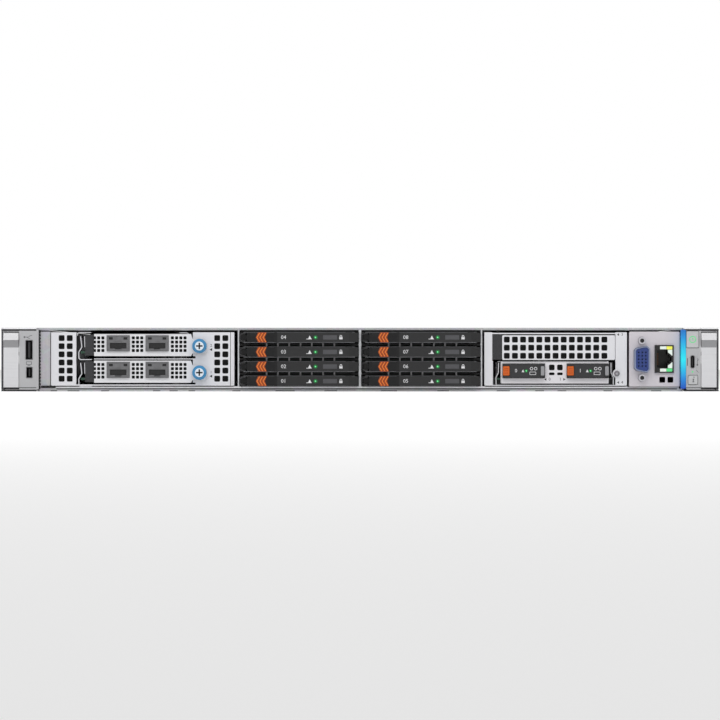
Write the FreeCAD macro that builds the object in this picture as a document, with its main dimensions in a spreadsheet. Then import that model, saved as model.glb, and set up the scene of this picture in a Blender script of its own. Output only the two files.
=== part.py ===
import FreeCAD, Part
import math
import os
import Sketcher

# A one-unit rack server with its cards, drives and service ports at the front.
# Frame: x to the right seen from the front, y towards the back, z up, millimetres.
# The origin lies on the base, midway between the sides, at the plane where the ears meet the rack.
# Every driving size is a cell of the sheet; every sketch point and length is bound to those cells.

SIZES = [
    # the whole
    ("rack_width", 482.0, "over both ears"),
    ("ear_reach", 24.0, "each ear, outside the side wall"),
    ("unit_height", 42.8, "base to top of cover"),
    ("tray_length", 736.5, "rack plane to the outside of the rear wall"),
    ("sheet_metal", 1.0, "thickness of tray, plates and covers"),
    ("fit_gap", 0.3, "clearance between pieces that move or lift off"),
    ("running_gap", 0.05, "radial clearance of pins and shafts"),
    ("lid_gap", 0.6, "top of the inner cages below the lid"),
    # how far the fronts stand ahead of the rack plane
    ("tray_reach", 13.0, "front edge of the tray"),
    ("plate_reach", 15.0, "face of the fixed front plates"),
    ("bracket_reach", 16.0, "face of the card brackets"),
    ("drive_reach", 19.0, "face of the drive carriers"),
    ("housing_reach", 20.0, "face of the ear housings"),
    # tray
    ("lip_height", 2.9, "front lip of the tray"),
    ("filler_width", 7.5, "plain strip left of the riser"),
    ("stud_neck", 2.5, "radius of a rail stud's neck"),
    ("stud_head", 4.0, "radius of a rail stud's head"),
    ("stud_reach", 3.5, "stud's length out of the wall"),
    ("stud_front", 70.0, "first rail stud behind the rack plane"),
    ("stud_rear", 36.5, "last rail stud ahead of the rear wall"),
    ("standoff_radius", 3.0, "posts under the mainboard"),
    ("board_lift", 5.0, "height of the posts"),
    ("slot_width", 8.0, "rear exhaust slots"),
    ("slot_height", 8.4, "rear exhaust slots"),
    ("slot_pitch", 12.0, "rear exhaust slots, across"),
    ("slot_rise", 11.6, "rear exhaust slots, up"),
    # lid
    ("top_plate_length", 151.0, "fixed front part of the top"),
    ("pan_width", 36.0, "recess for the cover latch"),
    ("pan_length", 82.0, "recess for the cover latch"),
    ("pan_depth", 6.4, "recess for the cover latch"),
    ("pan_setback", 56.0, "from the recess to the rear wall"),
    ("latch_pin", 1.5, "radius of the pins of cover latch and ear latches"),
    ("lever_thickness", 3.0, "cover latch lever"),
    # ears
    ("ear_plate", 2.0, "thickness of the mounting flange"),
    ("ear_low", 1.2, "lower end of the ear"),
    ("ear_high", 41.6, "upper end of the ear"),
    ("housing_width", 12.9, "control housing, across"),
    ("cheek", 1.2, "outer cheek of the ear"),
    ("rack_hole_inset", 8.45, "hard-mount hole, from the ear's outer edge"),
    ("rack_hole_radius", 3.3, "hard-mount hole"),
    ("rack_hole_height", 21.4, "hard-mount hole above the base"),
    ("latch_pivot_back", 10.0, "slam latch pivot ahead of the rack plane"),
    ("latch_pivot_height", 36.5, "slam latch pivot above the base"),
    ("light_width", 3.4, "status light bar"),
    # front plates
    ("panel_low", 3.8, "lower edge of the front plates"),
    ("panel_high", 40.2, "upper edge of the front plates"),
    ("corner", 0.9, "corner radius of the front plates"),
    ("vent_size", 3.7, "square vent"),
    ("vent_pitch", 5.47, "square vent to square vent"),
    ("left_riser", 123.3, "left riser frame, across"),
    ("left_plate_width", 17.0, "vented plate left of the cards"),
    ("right_plate_width", 23.0, "vented plate right of the cards"),
    ("riser_depth", 160.0, "riser frames, front to back"),
    # cards
    ("bracket_inset", 12.0, "card bracket from the left plate"),
    ("bracket_width", 65.2, "card bracket"),
    ("bracket_height", 14.9, "card bracket"),
    ("bracket_low", 5.8, "lower card bracket above the base"),
    ("card_pitch", 17.9, "lower card to upper card"),
    ("card_board", 1.6, "thickness of the card boards"),
    ("port_offset", 8.6, "first port from the bracket's left edge"),
    ("port_width", 15.3, "port cage"),
    ("port_height", 10.5, "port cage"),
    ("port_depth", 42.0, "port cage"),
    ("port_pitch", 26.2, "port cage to port cage"),
    ("port_slot_width", 11.2, "mouth of a port"),
    ("port_slot_height", 3.8, "mouth of a port"),
    ("small_vent", 1.75, "bracket vent"),
    ("small_pitch", 2.83, "bracket vent to bracket vent"),
    ("screw_head", 4.8, "radius of a captive thumbscrew"),
    ("screw_shank", 1.5, "radius of its shank"),
    # drives
    ("cage_metal", 1.0, "walls of the drive cage"),
    ("divider", 1.6, "middle wall of the drive cage"),
    ("cage_length", 118.0, "drive cage, front to back"),
    ("shelf_rail", 4.6, "rails that carry the drives"),
    ("shelf_height", 1.7, "rails that carry the drives"),
    ("rib_width", 1.1, "ribs between the drive faces"),
    ("rib_pitch", 7.6, "ribs between the drive faces"),
    ("carrier_play", 1.1, "drive face narrower than its bay"),
    ("carrier_height", 6.4, "drive face"),
    ("case_play", 4.5, "drive case narrower than its bay"),
    ("drive_thickness", 7.5, "drive case"),
    ("drive_length", 112.75, "drive case"),
    ("knuckle", 4.8, "hinge end of a carrier"),
    ("lever_length", 18.4, "drive release lever"),
    ("lever_pin", 0.8, "radius of the release lever's pin"),
    ("edge_width", 40.0, "drive's edge connector"),
    ("edge_length", 3.7, "drive's edge connector"),
    ("edge_thickness", 1.6, "drive's edge connector"),
    ("backplane", 2.0, "thickness of the drive backplane"),
    # right riser with the small boot drives
    ("right_strip", 7.7, "plain strip right of the blank"),
    ("left_strip", 4.8, "plain strip left of the blank"),
    ("blank_low", 21.1, "vented blank above the base"),
    ("blank_height", 16.8, "vented blank"),
    ("blank_inset", 7.2, "blank from the left strip"),
    ("module_low", 5.3, "boot module frame above the base"),
    ("module_height", 14.4, "boot module frame"),
    ("boot_width", 28.2, "boot drive carrier"),
    ("boot_height", 9.4, "boot drive carrier"),
    ("boot_length", 92.0, "boot drive carrier"),
    ("boot_pitch", 43.2, "boot drive to boot drive"),
    ("release_width", 4.4, "orange release of a boot drive"),
    ("release_height", 6.2, "orange release of a boot drive"),
    # service panel
    ("service_width", 34.0, "input and output panel"),
    ("service_gap", 0.9, "panel to the side wall"),
    ("video_across", 8.6, "video port from the panel's left edge"),
    ("video_height", 21.6, "video port above the base"),
    ("video_width", 10.6, "D shell, across"),
    ("video_length", 17.8, "D shell, up and down"),
    ("jack_post_spacing", 25.0, "video port's screw posts"),
    ("jack_thread", 1.42, "radius of the thread in a post"),
    ("jack_left", 17.3, "ethernet jack from the panel's left edge"),
    ("jack_width", 12.6, "ethernet jack, across"),
    ("jack_low", 12.6, "ethernet jack above the base"),
    ("jack_length", 18.4, "ethernet jack, up and down"),
    # inside
    ("mainboard", 1.6, "thickness of the mainboard"),
    ("board_front", 250.0, "front edge of the mainboard"),
    ("board_setback", 11.5, "wide part of the mainboard, ahead of the supplies"),
    ("processor_across", 105.0, "processor from the middle"),
    ("processor_shift", 25.0, "processors ahead of the mainboard's middle"),
    ("sink_width", 80.0, "heatsink"),
    ("sink_length", 110.0, "heatsink"),
    ("fin_height", 20.0, "heatsink fin"),
    ("fin_thickness", 0.8, "heatsink fin"),
    ("memory_pitch", 7.6, "memory socket to memory socket"),
    ("memory_length", 133.35, "memory module"),
    ("memory_height", 24.0, "memory module above its socket"),
    ("fan_size", 40.0, "fan frame, square"),
    ("fan_depth", 56.0, "fan frame, front to back"),
    ("fan_front", 180.0, "front of the fans"),
    ("fan_pitch", 70.0, "fan to fan"),
    ("fan_bore", 19.0, "radius of the fan's duct"),
    ("fan_hub", 10.5, "radius of the rotor hub"),
    ("fan_shaft", 1.5, "radius of the rotor shaft"),
    ("blade_thickness", 1.2, "fan blade"),
    # power supplies
    ("supply_width", 60.0, "power supply"),
    ("supply_height", 39.4, "power supply"),
    ("supply_length", 185.0, "power supply"),
    ("supply_edge", 1.5, "power supply to the side wall"),
    ("handle_reach", 35.6, "handle out of the rear wall"),
    ("handle_width", 12.0, "handle strap"),
    ("handle_metal", 3.2, "handle strap"),
    ("inlet_width", 24.0, "mains inlet recess"),
    ("inlet_height", 16.5, "mains inlet recess"),
    ("inlet_depth", 15.0, "mains inlet recess"),
]

OVERCUT = 1.0          # how far a through cut runs past its plate

doc = FreeCAD.newDocument("rack_server")
sheet = doc.addObject("Spreadsheet::Sheet", "Size")
for row, (alias, value, meaning) in enumerate(SIZES, start=1):
    sheet.set("A%d" % row, alias)
    sheet.set("B%d" % row, str(value))
    sheet.set("C%d" % row, meaning)
    sheet.setAlias("B%d" % row, alias)
doc.recompute()


class Quantity:
    """A length worked out from the sheet: its expression, and the value that it has now."""

    def __init__(self, text, value):
        self.text = text
        self.value = value

    def __add__(self, other):
        return joined(self, "+", other)

    def __radd__(self, other):
        return joined(other, "+", self)

    def __sub__(self, other):
        return joined(self, "-", other)

    def __rsub__(self, other):
        return joined(other, "-", self)

    def __mul__(self, other):
        return joined(self, "*", other)

    def __rmul__(self, other):
        return joined(other, "*", self)

    def __truediv__(self, other):
        return joined(self, "/", other)

    def __neg__(self):
        return joined(-1, "*", self)


def quantity(number):
    if isinstance(number, Quantity):
        return number
    return Quantity("(%s)" % number if number < 0 else str(number), float(number))


def joined(left, sign, right):
    left = quantity(left)
    right = quantity(right)
    worth = {
        "+": left.value + right.value,
        "-": left.value - right.value,
        "*": left.value * right.value,
        "/": left.value / (right.value or 1.0),
    }[sign]
    return Quantity("(%s %s %s)" % (left.text, sign, right.text), worth)


def size(alias):
    return Quantity("Size." + alias, float(sheet.get(alias)))


def bind(target, prop, length):
    """Tie a property to the sheet, where its length depends on it."""
    length = quantity(length)
    if "Size." in length.text:
        target.setExpression(prop, length.text)


# ---- outlines: closed loops of points, some of whose sides are arcs ------------------------------

def polygon(*points):
    return {"points": list(points), "arcs": {}}


def rectangle(left, low, right, high):
    return polygon((left, low), (right, low), (right, high), (left, high))


def rounded(left, low, right, high, radius):
    """A rectangle whose corners are quarter circles."""
    points = [
        (left + radius, low), (right - radius, low),
        (right, low + radius), (right, high - radius),
        (right - radius, high), (left + radius, high),
        (left, high - radius), (left, low + radius),
    ]
    return {"points": points, "arcs": {side: (radius, 1) for side in (1, 3, 5, 7)}}


def square(across, up, side):
    return rectangle(across - side / 2, up - side / 2, across + side / 2, up + side / 2)


def circle(across, up, radius):
    return {"circle": (across, up, radius)}


def mirrored(outline, side):
    """The same outline, turned over to the left for side -1."""
    if side > 0:
        return outline
    if "circle" in outline:
        across, up, radius = outline["circle"]
        return circle(-quantity(across), up, radius)
    points = [(-quantity(across), up) for across, up in outline["points"]]
    return {"points": points, "arcs": {at: (radius, -turn) for at, (radius, turn) in outline["arcs"].items()}}


def span(side, near, far):
    """The stretch from near to far, on the right for side 1 and on the left for side -1."""
    return (near, far) if side > 0 else (-quantity(far), -quantity(near))


def arc_between(start, end, radius, turn):
    """The shorter arc from start to end; turn 1 has its centre on the left of the way there."""
    chord = end - start
    middle = (start + end) * 0.5
    height = math.sqrt(max(radius * radius - chord.Length * chord.Length / 4.0, 0.0))
    left = FreeCAD.Vector(-chord.y, chord.x, 0).normalize()
    centre = middle + left * (height * turn)
    first = start if turn > 0 else end
    last = end if turn > 0 else start
    begin = math.atan2(first.y - centre.y, first.x - centre.x)
    finish = math.atan2(last.y - centre.y, last.x - centre.x)
    ring = Part.Circle(centre, FreeCAD.Vector(0, 0, 1), radius)
    return Part.ArcOfCircle(ring, begin, finish)


def draw_circle(sketch, across, up, radius, bound):
    at = sketch.addGeometry(Part.Circle(FreeCAD.Vector(across.value, up.value, 0), FreeCAD.Vector(0, 0, 1),
                                        radius.value))
    bound.append((Sketcher.Constraint("DistanceX", -1, 1, at, 3, across.value), across))
    bound.append((Sketcher.Constraint("DistanceY", -1, 1, at, 3, up.value), up))
    bound.append((Sketcher.Constraint("Radius", at, radius.value), radius))


def draw_loop(sketch, outline, free, bound):
    points = [(quantity(across), quantity(up)) for across, up in outline["points"]]
    spots = [FreeCAD.Vector(across.value, up.value, 0) for across, up in points]
    first = sketch.GeometryCount
    ends = []
    sides = []
    for at, spot in enumerate(spots):
        after = spots[(at + 1) % len(spots)]
        if at in outline["arcs"]:
            radius, turn = outline["arcs"][at]
            radius = quantity(radius)
            sides.append(arc_between(spot, after, radius.value, turn))
            ends.append((1, 2) if turn > 0 else (2, 1))
            bound.append((Sketcher.Constraint("Radius", first + at, radius.value), radius))
        else:
            sides.append(Part.LineSegment(spot, after))
            ends.append((1, 2))
    sketch.addGeometry(sides)
    for at, (across, up) in enumerate(points):
        before = (at - 1) % len(points)
        free.append(Sketcher.Constraint("Coincident", first + before, ends[before][1], first + at, ends[at][0]))
        bound.append((Sketcher.Constraint("DistanceX", -1, 1, first + at, ends[at][0], across.value), across))
        bound.append((Sketcher.Constraint("DistanceY", -1, 1, first + at, ends[at][0], up.value), up))


# ---- a body and the features that its makers use --------------------------------------------------

PLANES = {"XY": ("XY_Plane", False), "XZ": ("XZ_Plane", True), "YZ": ("YZ_Plane", False)}


class Piece:
    """A PartDesign body. A plane's features run along the axis that the plane lacks, from low to high."""

    def __init__(self, name):
        self.body = doc.addObject("PartDesign::Body", name)
        self.body.Label = name

    def origin_plane(self, role):
        for feature in self.body.Origin.OriginFeatures:
            if feature.Role == role:
                return feature

    def sketch(self, plane, height, outlines):
        """A sketch on an origin plane, moved along the plane's normal by height."""
        role, backwards = PLANES[plane]
        sketch = self.body.newObject("Sketcher::SketchObject", self.body.Name + "_sketch")
        sketch.AttachmentSupport = [(self.origin_plane(role), "")]
        sketch.MapMode = "FlatFace"
        lift = -quantity(height) if backwards else quantity(height)
        sketch.AttachmentOffset = FreeCAD.Placement(FreeCAD.Vector(0, 0, lift.value), FreeCAD.Rotation())
        bind(sketch, "AttachmentOffset.Base.z", lift)
        free = []
        bound = []
        for outline in outlines:
            if "circle" in outline:
                across, up, radius = [quantity(length) for length in outline["circle"]]
                draw_circle(sketch, across, up, radius, bound)
            else:
                draw_loop(sketch, outline, free, bound)
        sketch.addConstraint(free + [constraint for constraint, length in bound])
        for at, (constraint, length) in enumerate(bound, start=len(free)):
            bind(sketch, "Constraints[%d]" % at, length)
        return sketch

    def feature(self, kind, sketch, depth):
        made = self.body.newObject("PartDesign::" + kind, self.body.Name + "_" + kind.lower())
        made.Profile = sketch
        made.Length = quantity(depth).value
        bind(made, "Length", depth)
        return made

    def pad(self, plane, low, high, *outlines):
        """Add material between two heights along the plane's normal."""
        made = self.feature("Pad", self.sketch(plane, low, outlines), quantity(high) - low)
        made.Reversed = PLANES[plane][1]
        return made

    def cut(self, plane, low, high, *outlines):
        """Take material away between two heights along the plane's normal."""
        start = low if PLANES[plane][1] else high
        return self.feature("Pocket", self.sketch(plane, start, outlines), quantity(high) - low)

    def turn(self, plane, *outlines):
        """Revolve outlines about the sketch's upright axis."""
        sketch = self.sketch(plane, 0, outlines)
        made = self.body.newObject("PartDesign::Revolution", self.body.Name + "_turned")
        made.Profile = sketch
        made.ReferenceAxis = (sketch, ["V_Axis"])
        made.Angle = 360.0
        return made

    def grid(self, features, columns, pitch, rows=1, rise=1):
        """Repeat features across and up their own sketch."""
        made = self.body.newObject("PartDesign::LinearPattern", self.body.Name + "_grid")
        made.Originals = features
        sketch = features[0].Profile[0]
        across = quantity(pitch) * max(columns - 1, 1)
        up = quantity(rise) * max(rows - 1, 1)
        made.Direction = (sketch, ["H_Axis"])
        made.Occurrences = columns
        made.Length = across.value
        bind(made, "Length", across)
        made.Direction2 = (sketch, ["V_Axis"])
        made.Occurrences2 = rows
        made.Length2 = up.value
        bind(made, "Length2", up)
        self.body.Tip = made
        return made

    def place(self, across, back, up):
        place_body(self.body, across, back, up)


def place_body(body, across, back, up):
    spot = [quantity(across), quantity(back), quantity(up)]
    body.Placement = FreeCAD.Placement(FreeCAD.Vector(*[length.value for length in spot]), FreeCAD.Rotation())
    for axis, length in zip("xyz", spot):
        bind(body, "Placement.Base." + axis, length)


def copy_of(piece, name, across, back, up):
    """The same piece again, in its own place."""
    body = doc.addObject("PartDesign::Body", name)
    body.Label = name
    twin = doc.addObject("PartDesign::FeatureBase", name + "_base")
    body.Group = [twin]
    twin.BaseFeature = piece.body
    twin.Placement = FreeCAD.Placement()
    body.Tip = twin
    place_body(body, across, back, up)


# ---- shared lines of the assembly --------------------------------------------------------------

half = size("rack_width") / 2 - size("ear_reach")    # outside of the side walls
metal = size("sheet_metal")
gap = size("fit_gap")
inner = half - metal                                  # inside of the side walls
lid_low = size("unit_height") - metal                 # underside of the top
wall_top = lid_low - gap
tray_front = -size("tray_reach")
plate_face = -size("plate_reach")
rear_inside = size("tray_length") - metal

stack_low = metal + size("cage_metal")                # floor of the drive cage
stack_high = lid_low - size("lid_gap")                # top of the drive cage
drive_pitch = (stack_high - stack_low) / 4

riser_left = -inner + size("filler_width") + 0.6
riser_right = riser_left + size("left_riser")
cage_half = -riser_right - 2.3                        # the drive cage fills what the risers leave
column_clear = cage_half - size("divider") / 2 - size("cage_metal")
column_middle = (column_clear + size("divider")) / 2

window_left = riser_left + size("left_plate_width")
card_left = window_left + size("bracket_inset")
card_right = card_left + size("bracket_width")
screw_across = card_right + 5.8
screw_lift = size("bracket_low") + 6.8

service_left = inner - size("service_gap") - size("service_width")
boot_left = cage_half + 1.4
boot_right = service_left - 1.5

supply_right = inner - size("supply_edge")
supply_left = supply_right - size("supply_width")
supply_middle = (supply_left + supply_right) / 2
supply_low = metal + gap
supply_front = size("tray_length") - size("supply_length")

board_low = metal + size("board_lift")
board_top = board_low + size("mainboard")
board_back = supply_front - size("board_setback")
board_middle = (size("board_front") + board_back) / 2
processor_back = board_middle - size("processor_shift")


# ---- chassis ------------------------------------------------------------------------------------

def chassis_tray():
    """Folded tray with its rear wall, front lip, filler strip, supply bays, board posts and rail studs."""
    tray = Piece("chassis_tray")
    channel = polygon((-half, 0), (half, 0), (half, wall_top), (inner, wall_top),
                      (inner, metal), (-inner, metal), (-inner, wall_top), (-half, wall_top))
    tray.pad("XZ", tray_front, size("tray_length"), channel)
    tray.pad("XZ", rear_inside, size("tray_length"), rectangle(-inner, metal, inner, wall_top))
    tray.pad("XZ", tray_front, tray_front + metal, rectangle(-inner, metal, inner, size("lip_height")))
    strip_right = -inner + size("filler_width")
    tray.pad("XZ", tray_front, tray_front + metal,
             rectangle(-inner, size("lip_height"), strip_right, size("panel_high")))
    for side in (-1, 1):
        bay = rectangle(supply_left - gap, metal, supply_right + gap, wall_top)
        tray.cut("XZ", rear_inside - OVERCUT, size("tray_length") + OVERCUT, mirrored(bay, side))
        wall = span(side, supply_left - gap - metal, supply_left - gap)
        tray.pad("YZ", *wall, rectangle(supply_front, metal, size("tray_length"), wall_top))
        stud_pitch = (size("tray_length") - size("stud_front") - size("stud_rear")) / 3
        stud_middle = size("unit_height") / 2
        for at in range(4):
            back = size("stud_front") + stud_pitch * at
            neck_end = half + size("stud_reach") - 1.5
            tray.pad("YZ", *span(side, half, neck_end), circle(back, stud_middle, size("stud_neck")))
            tray.pad("YZ", *span(side, neck_end, half + size("stud_reach")),
                     circle(back, stud_middle, size("stud_head")))
    slot_room = (supply_left - gap - metal - 8) * 2 - size("slot_width")
    slots = int(slot_room.value / size("slot_pitch").value) + 1
    first_slot = -size("slot_pitch") * (slots - 1) / 2
    slot = tray.cut("XZ", rear_inside - OVERCUT, size("tray_length") + OVERCUT,
                    rectangle(first_slot - size("slot_width") / 2, size("panel_low"),
                              first_slot + size("slot_width") / 2, size("panel_low") + size("slot_height")))
    tray.grid([slot], slots, size("slot_pitch"), 3, size("slot_rise"))
    post = tray.pad("XY", metal, board_low,
                    circle(-inner + 12, size("board_front") + 12, size("standoff_radius")))
    tray.grid([post], 4, (inner - 12) * 2 / 3, 3, (board_back - size("board_front") - 24) / 2)


def front_top_plate():
    """Fixed front part of the lid, with its front edge turned down on both sides of the drive cage."""
    plate = Piece("front_top_plate")
    plate.pad("XY", lid_low, size("unit_height"),
              rectangle(-half, tray_front, half, tray_front + size("top_plate_length")))
    for side in (-1, 1):
        hem = rectangle(cage_half + 1.7, lid_low - 0.9, inner - gap, lid_low)
        plate.pad("XZ", tray_front, tray_front + metal, mirrored(hem, side))


cover_front = tray_front + size("top_plate_length") + gap + 0.1
pan_back = rear_inside - size("pan_setback")
pan_front = pan_back - size("pan_length")
pan_floor = lid_low - size("pan_depth")
pivot_back = pan_back - 7
pivot_up = size("unit_height") - 0.6 - size("lever_thickness") / 2


def top_cover():
    """Lift-off cover: a plate, and the pan that its latch lies in."""
    cover = Piece("top_cover")
    pan_half = size("pan_width") / 2
    cover.pad("XY", lid_low, size("unit_height"),
              rectangle(-half, cover_front, half, size("tray_length")))
    cover.pad("XY", pan_floor - metal, lid_low,
              rectangle(-pan_half - metal, pan_front - metal, pan_half + metal, pan_back + metal))
    cover.cut("XY", pan_floor, size("unit_height") + OVERCUT,
              rounded(-pan_half, pan_front, pan_half, pan_back, 2))
    cover.cut("YZ", -pan_half - 2 * metal, pan_half + 2 * metal,
              circle(pivot_back, pivot_up, size("latch_pin") + size("running_gap")))


def cover_latch():
    """Lever in the cover's pan: a flat arm with a rounded hinge end and its pin."""
    latch = Piece("cover_latch")
    pan_half = size("pan_width") / 2
    arm_half = pan_half - gap * 2
    thick = size("lever_thickness")
    tip = pan_front + 14
    arm = polygon((tip, pivot_up - thick / 2), (pivot_back, pivot_up - thick / 2),
                  (pivot_back, pivot_up + thick / 2), (tip, pivot_up + thick / 2))
    latch.pad("YZ", -arm_half, arm_half, arm)
    latch.pad("YZ", -arm_half, arm_half, circle(pivot_back, pivot_up, thick / 2 + 0.5))
    latch.pad("YZ", -pan_half - metal * 0.8, pan_half + metal * 0.8,
              circle(pivot_back, pivot_up, size("latch_pin")))
    latch.cut("XY", pivot_up, pivot_up + thick,
              rounded(-pan_half * 0.45, tip + 6, pan_half * 0.45, tip + 34, 3))


# ---- ears ---------------------------------------------------------------------------------------

ear_outer = size("rack_width") / 2
ear_inner = half + gap
cheek_inner = ear_outer - size("cheek")
housing_face = -size("housing_reach")
housing_outer = half - 0.9 + size("housing_width")
ear_low = size("ear_low")
ear_high = size("ear_high")
light_left = half - 1.4
light_right = light_left + size("light_width")


def ear(side, name, cap_inner, pockets):
    """Mounting flange, control housing, outer cheek and the side arm that is screwed to the chassis."""
    piece = Piece(name)
    flange = mirrored(rectangle(ear_inner, ear_low, ear_outer, ear_high), side)
    piece.pad("XZ", -size("ear_plate"), 0, flange)
    body = mirrored(rectangle(ear_inner, ear_low, housing_outer, ear_high), side)
    piece.pad("XZ", tray_front - metal, -size("ear_plate"), body)
    cap = mirrored(rounded(cap_inner, ear_low, housing_outer, ear_high, size("corner")), side)
    piece.pad("XZ", housing_face, tray_front - metal, cap)
    cheek = polygon((-size("ear_plate"), ear_low), (-size("ear_plate"), ear_high), (-9, ear_high),
                    (-18, 31.5), (-18, 7), (-14, ear_low))
    piece.pad("YZ", *span(side, cheek_inner, ear_outer), cheek)
    arm = rounded(tray_front + 4, ear_low + 6, 42, ear_high - 6, 3)
    piece.pad("YZ", *span(side, half, half + 1.6), arm)
    hole = circle(ear_outer - size("rack_hole_inset"), size("rack_hole_height"), size("rack_hole_radius"))
    hook_slot = rounded(housing_outer + 0.8, 26.6, cheek_inner - 0.8, 39.2, 1)
    piece.cut("XZ", -size("ear_plate") - OVERCUT, OVERCUT, mirrored(hole, side), mirrored(hook_slot, side))
    bearing = circle(-size("latch_pivot_back"), size("latch_pivot_height"),
                     size("latch_pin") + size("running_gap"))
    piece.cut("YZ", *span(side, housing_outer - 2.5, ear_outer + OVERCUT), bearing)
    for depth, outline in pockets:
        piece.cut("XZ", housing_face - OVERCUT, housing_face + depth, mirrored(outline, side))


# sockets and buttons: middle from the side wall, middle above the base, width, height
USB_PORT = (5.3, 27.9, 5.1, 13.4)
DISPLAY_PORT = (5.1, 12.7, 4.5, 7.7)
USB_C_PORT = (6.4, 19.9, 3.1, 8.8)
POWER_KEY = (6.4, 34.9, 8.2, 11.0)
IDENTITY_KEY = (6.6, 7.7, 6.2, 6.0)
KEY_DEPTH = 8.0
SOCKET_DEPTH = 14.0


def face_box(place, grow=0, radius=0.8):
    """Rounded outline about a place on the ear housing."""
    across, up, width, height = place
    middle = half + across
    return rounded(middle - width / 2 - grow, up - height / 2 - grow,
                   middle + width / 2 + grow, up + height / 2 + grow, radius)


def ears():
    left_pockets = [(SOCKET_DEPTH, face_box(USB_PORT, 0, 0.5)), (SOCKET_DEPTH, face_box(DISPLAY_PORT, 0, 0.5))]
    ear(-1, "left_ear", half - 0.9, left_pockets)
    right_pockets = [
        (SOCKET_DEPTH, face_box(USB_C_PORT, 0, 1.2)),
        (KEY_DEPTH, face_box(POWER_KEY, gap, 1.0)),
        (KEY_DEPTH, face_box(IDENTITY_KEY, gap, 1.0)),
    ]
    ear(1, "right_ear", light_right + 0.1, right_pockets)
    light = Piece("light_bar")
    light.pad("XZ", housing_face - 0.2, tray_front - metal,
              rounded(light_left, ear_low + 0.5, light_right, ear_high, 0.8))


def button(name, place):
    """A light key: a cap that travels into its pocket."""
    key = Piece(name)
    key.pad("XZ", housing_face - 0.5, housing_face + 4.0, face_box(place))
    stem = circle(half + place[0], place[1], 1.6)
    key.pad("XZ", housing_face + 4.0, housing_face + KEY_DEPTH - 1.5, stem)


def front_ports():
    """Metal shells of the three front sockets, each with the tongue that carries its contacts."""
    ports = Piece("front_ports")
    wall = 0.4
    for side, place, radius, tongue in ((-1, USB_PORT, 0.5, (1.6, 10.8)), (-1, DISPLAY_PORT, 0.5, (1.0, 5.0)),
                                        (1, USB_C_PORT, 1.2, (0.7, 6.2))):
        middle = half + place[0]
        up = place[1]
        shell = mirrored(face_box(place, 0, radius), side)
        mouth = mirrored(face_box(place, -wall, radius - 0.3), side)
        blade = rectangle(middle - tongue[0] / 2, up - tongue[1] / 2,
                          middle + tongue[0] / 2, up + tongue[1] / 2)
        ports.pad("XZ", housing_face - 0.2, housing_face + SOCKET_DEPTH, shell)
        ports.cut("XZ", housing_face - OVERCUT, housing_face + SOCKET_DEPTH - 1.0, mouth)
        ports.pad("XZ", housing_face + 1.0, housing_face + SOCKET_DEPTH - 1.0, mirrored(blade, side))


def ear_latch(side, name):
    """Slam latch: curved grip, hook that passes through the flange, and its pivot pin."""
    latch = Piece(name)
    left = housing_outer + gap
    right = cheek_inner - gap
    pivot = -size("latch_pivot_back")
    up = size("latch_pivot_height")
    points = [
        (pivot + 4.0, up - 4.3), (pivot + 4.0, up - 2.0), (pivot + 12.5, up - 1.6), (pivot + 12.5, up + 0.9),
        (pivot + 4.0, up + 1.9), (pivot + 2.6, up + 3.7), (pivot - 10.5, up - 3.5), (pivot - 11.6, up - 8.0),
        (pivot - 10.2, up - 28.5), (pivot - 12.0, up - 33.2), (pivot - 10.6, up - 34.2),
        (pivot - 8.2, up - 28.5), (pivot - 8.9, up - 8.0), (pivot - 5.0, up - 4.3),
    ]
    grip = {"points": points, "arcs": {5: (14.5, 1), 7: (260.0, -1), 11: (260.0, 1)}}
    latch.pad("YZ", *span(side, left, right), grip)
    latch.cut("XZ", -5.6, 6, mirrored(rectangle(left - 1, 20, left + 1.6, 60), side),
              mirrored(rectangle(right - 1.6, 20, right + 1, 60), side))
    pin = circle(pivot, up, size("latch_pin"))
    latch.pad("YZ", *span(side, housing_outer - 2.3, ear_outer - 0.1), pin)


# ---- left riser and its two cards ---------------------------------------------------------------

def vents(piece, low, high, first_across, columns, first_up, rows):
    """A grid of square vents cut through a front plate."""
    hole = piece.cut("XZ", low - OVERCUT, high + OVERCUT, square(first_across, first_up, size("vent_size")))
    piece.grid([hole], columns, size("vent_pitch"), rows, size("vent_pitch"))


def left_riser_frame():
    """Sheet frame that holds the two cards: vented plates, divider, side walls and floor."""
    frame = Piece("left_riser_frame")
    back = plate_face + metal
    low = size("panel_low")
    high = size("panel_high")
    window_right = card_right + 1.2
    divider_low = size("bracket_low") + size("bracket_height") + 0.8
    frame.pad("XZ", plate_face, back, rounded(riser_left, low, riser_right, high, size("corner")))
    frame.cut("XZ", plate_face - OVERCUT, back + OVERCUT,
              rectangle(window_left, low + 1.2, window_right, divider_low),
              rectangle(window_left, divider_low + 0.9, window_right, high - 1.2))
    for near, far in ((riser_left, riser_left + metal), (riser_right - metal, riser_right)):
        frame.pad("YZ", near, far, rectangle(back, low + 1, plate_face + size("riser_depth"), high - 1))
    frame.pad("XY", metal, metal * 2,
              rectangle(riser_left, tray_front + 2, riser_right, plate_face + size("riser_depth")))
    for near, far in ((riser_left, riser_left + metal), (riser_right - metal, riser_right)):
        frame.pad("YZ", near, far,
                  rectangle(tray_front + 2, metal * 2, plate_face + size("riser_depth"), low + 1))
    first_up = low + 4.7
    vents(frame, plate_face, back, riser_left + 7.1, 2, first_up, 6)
    vents(frame, plate_face, back, riser_right - 11.5, 2, first_up, 6)
    for at in range(2):
        frame.cut("XZ", plate_face - OVERCUT, back + OVERCUT,
                  circle(screw_across, screw_lift + size("card_pitch") * at,
                         size("screw_shank") + size("running_gap")))


def port_outline(grow, low, at=0):
    left = card_left + size("port_offset") + size("port_pitch") * at
    return rectangle(left - grow, low - grow, left + size("port_width") + grow,
                     low + size("port_height") + grow)


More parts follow.
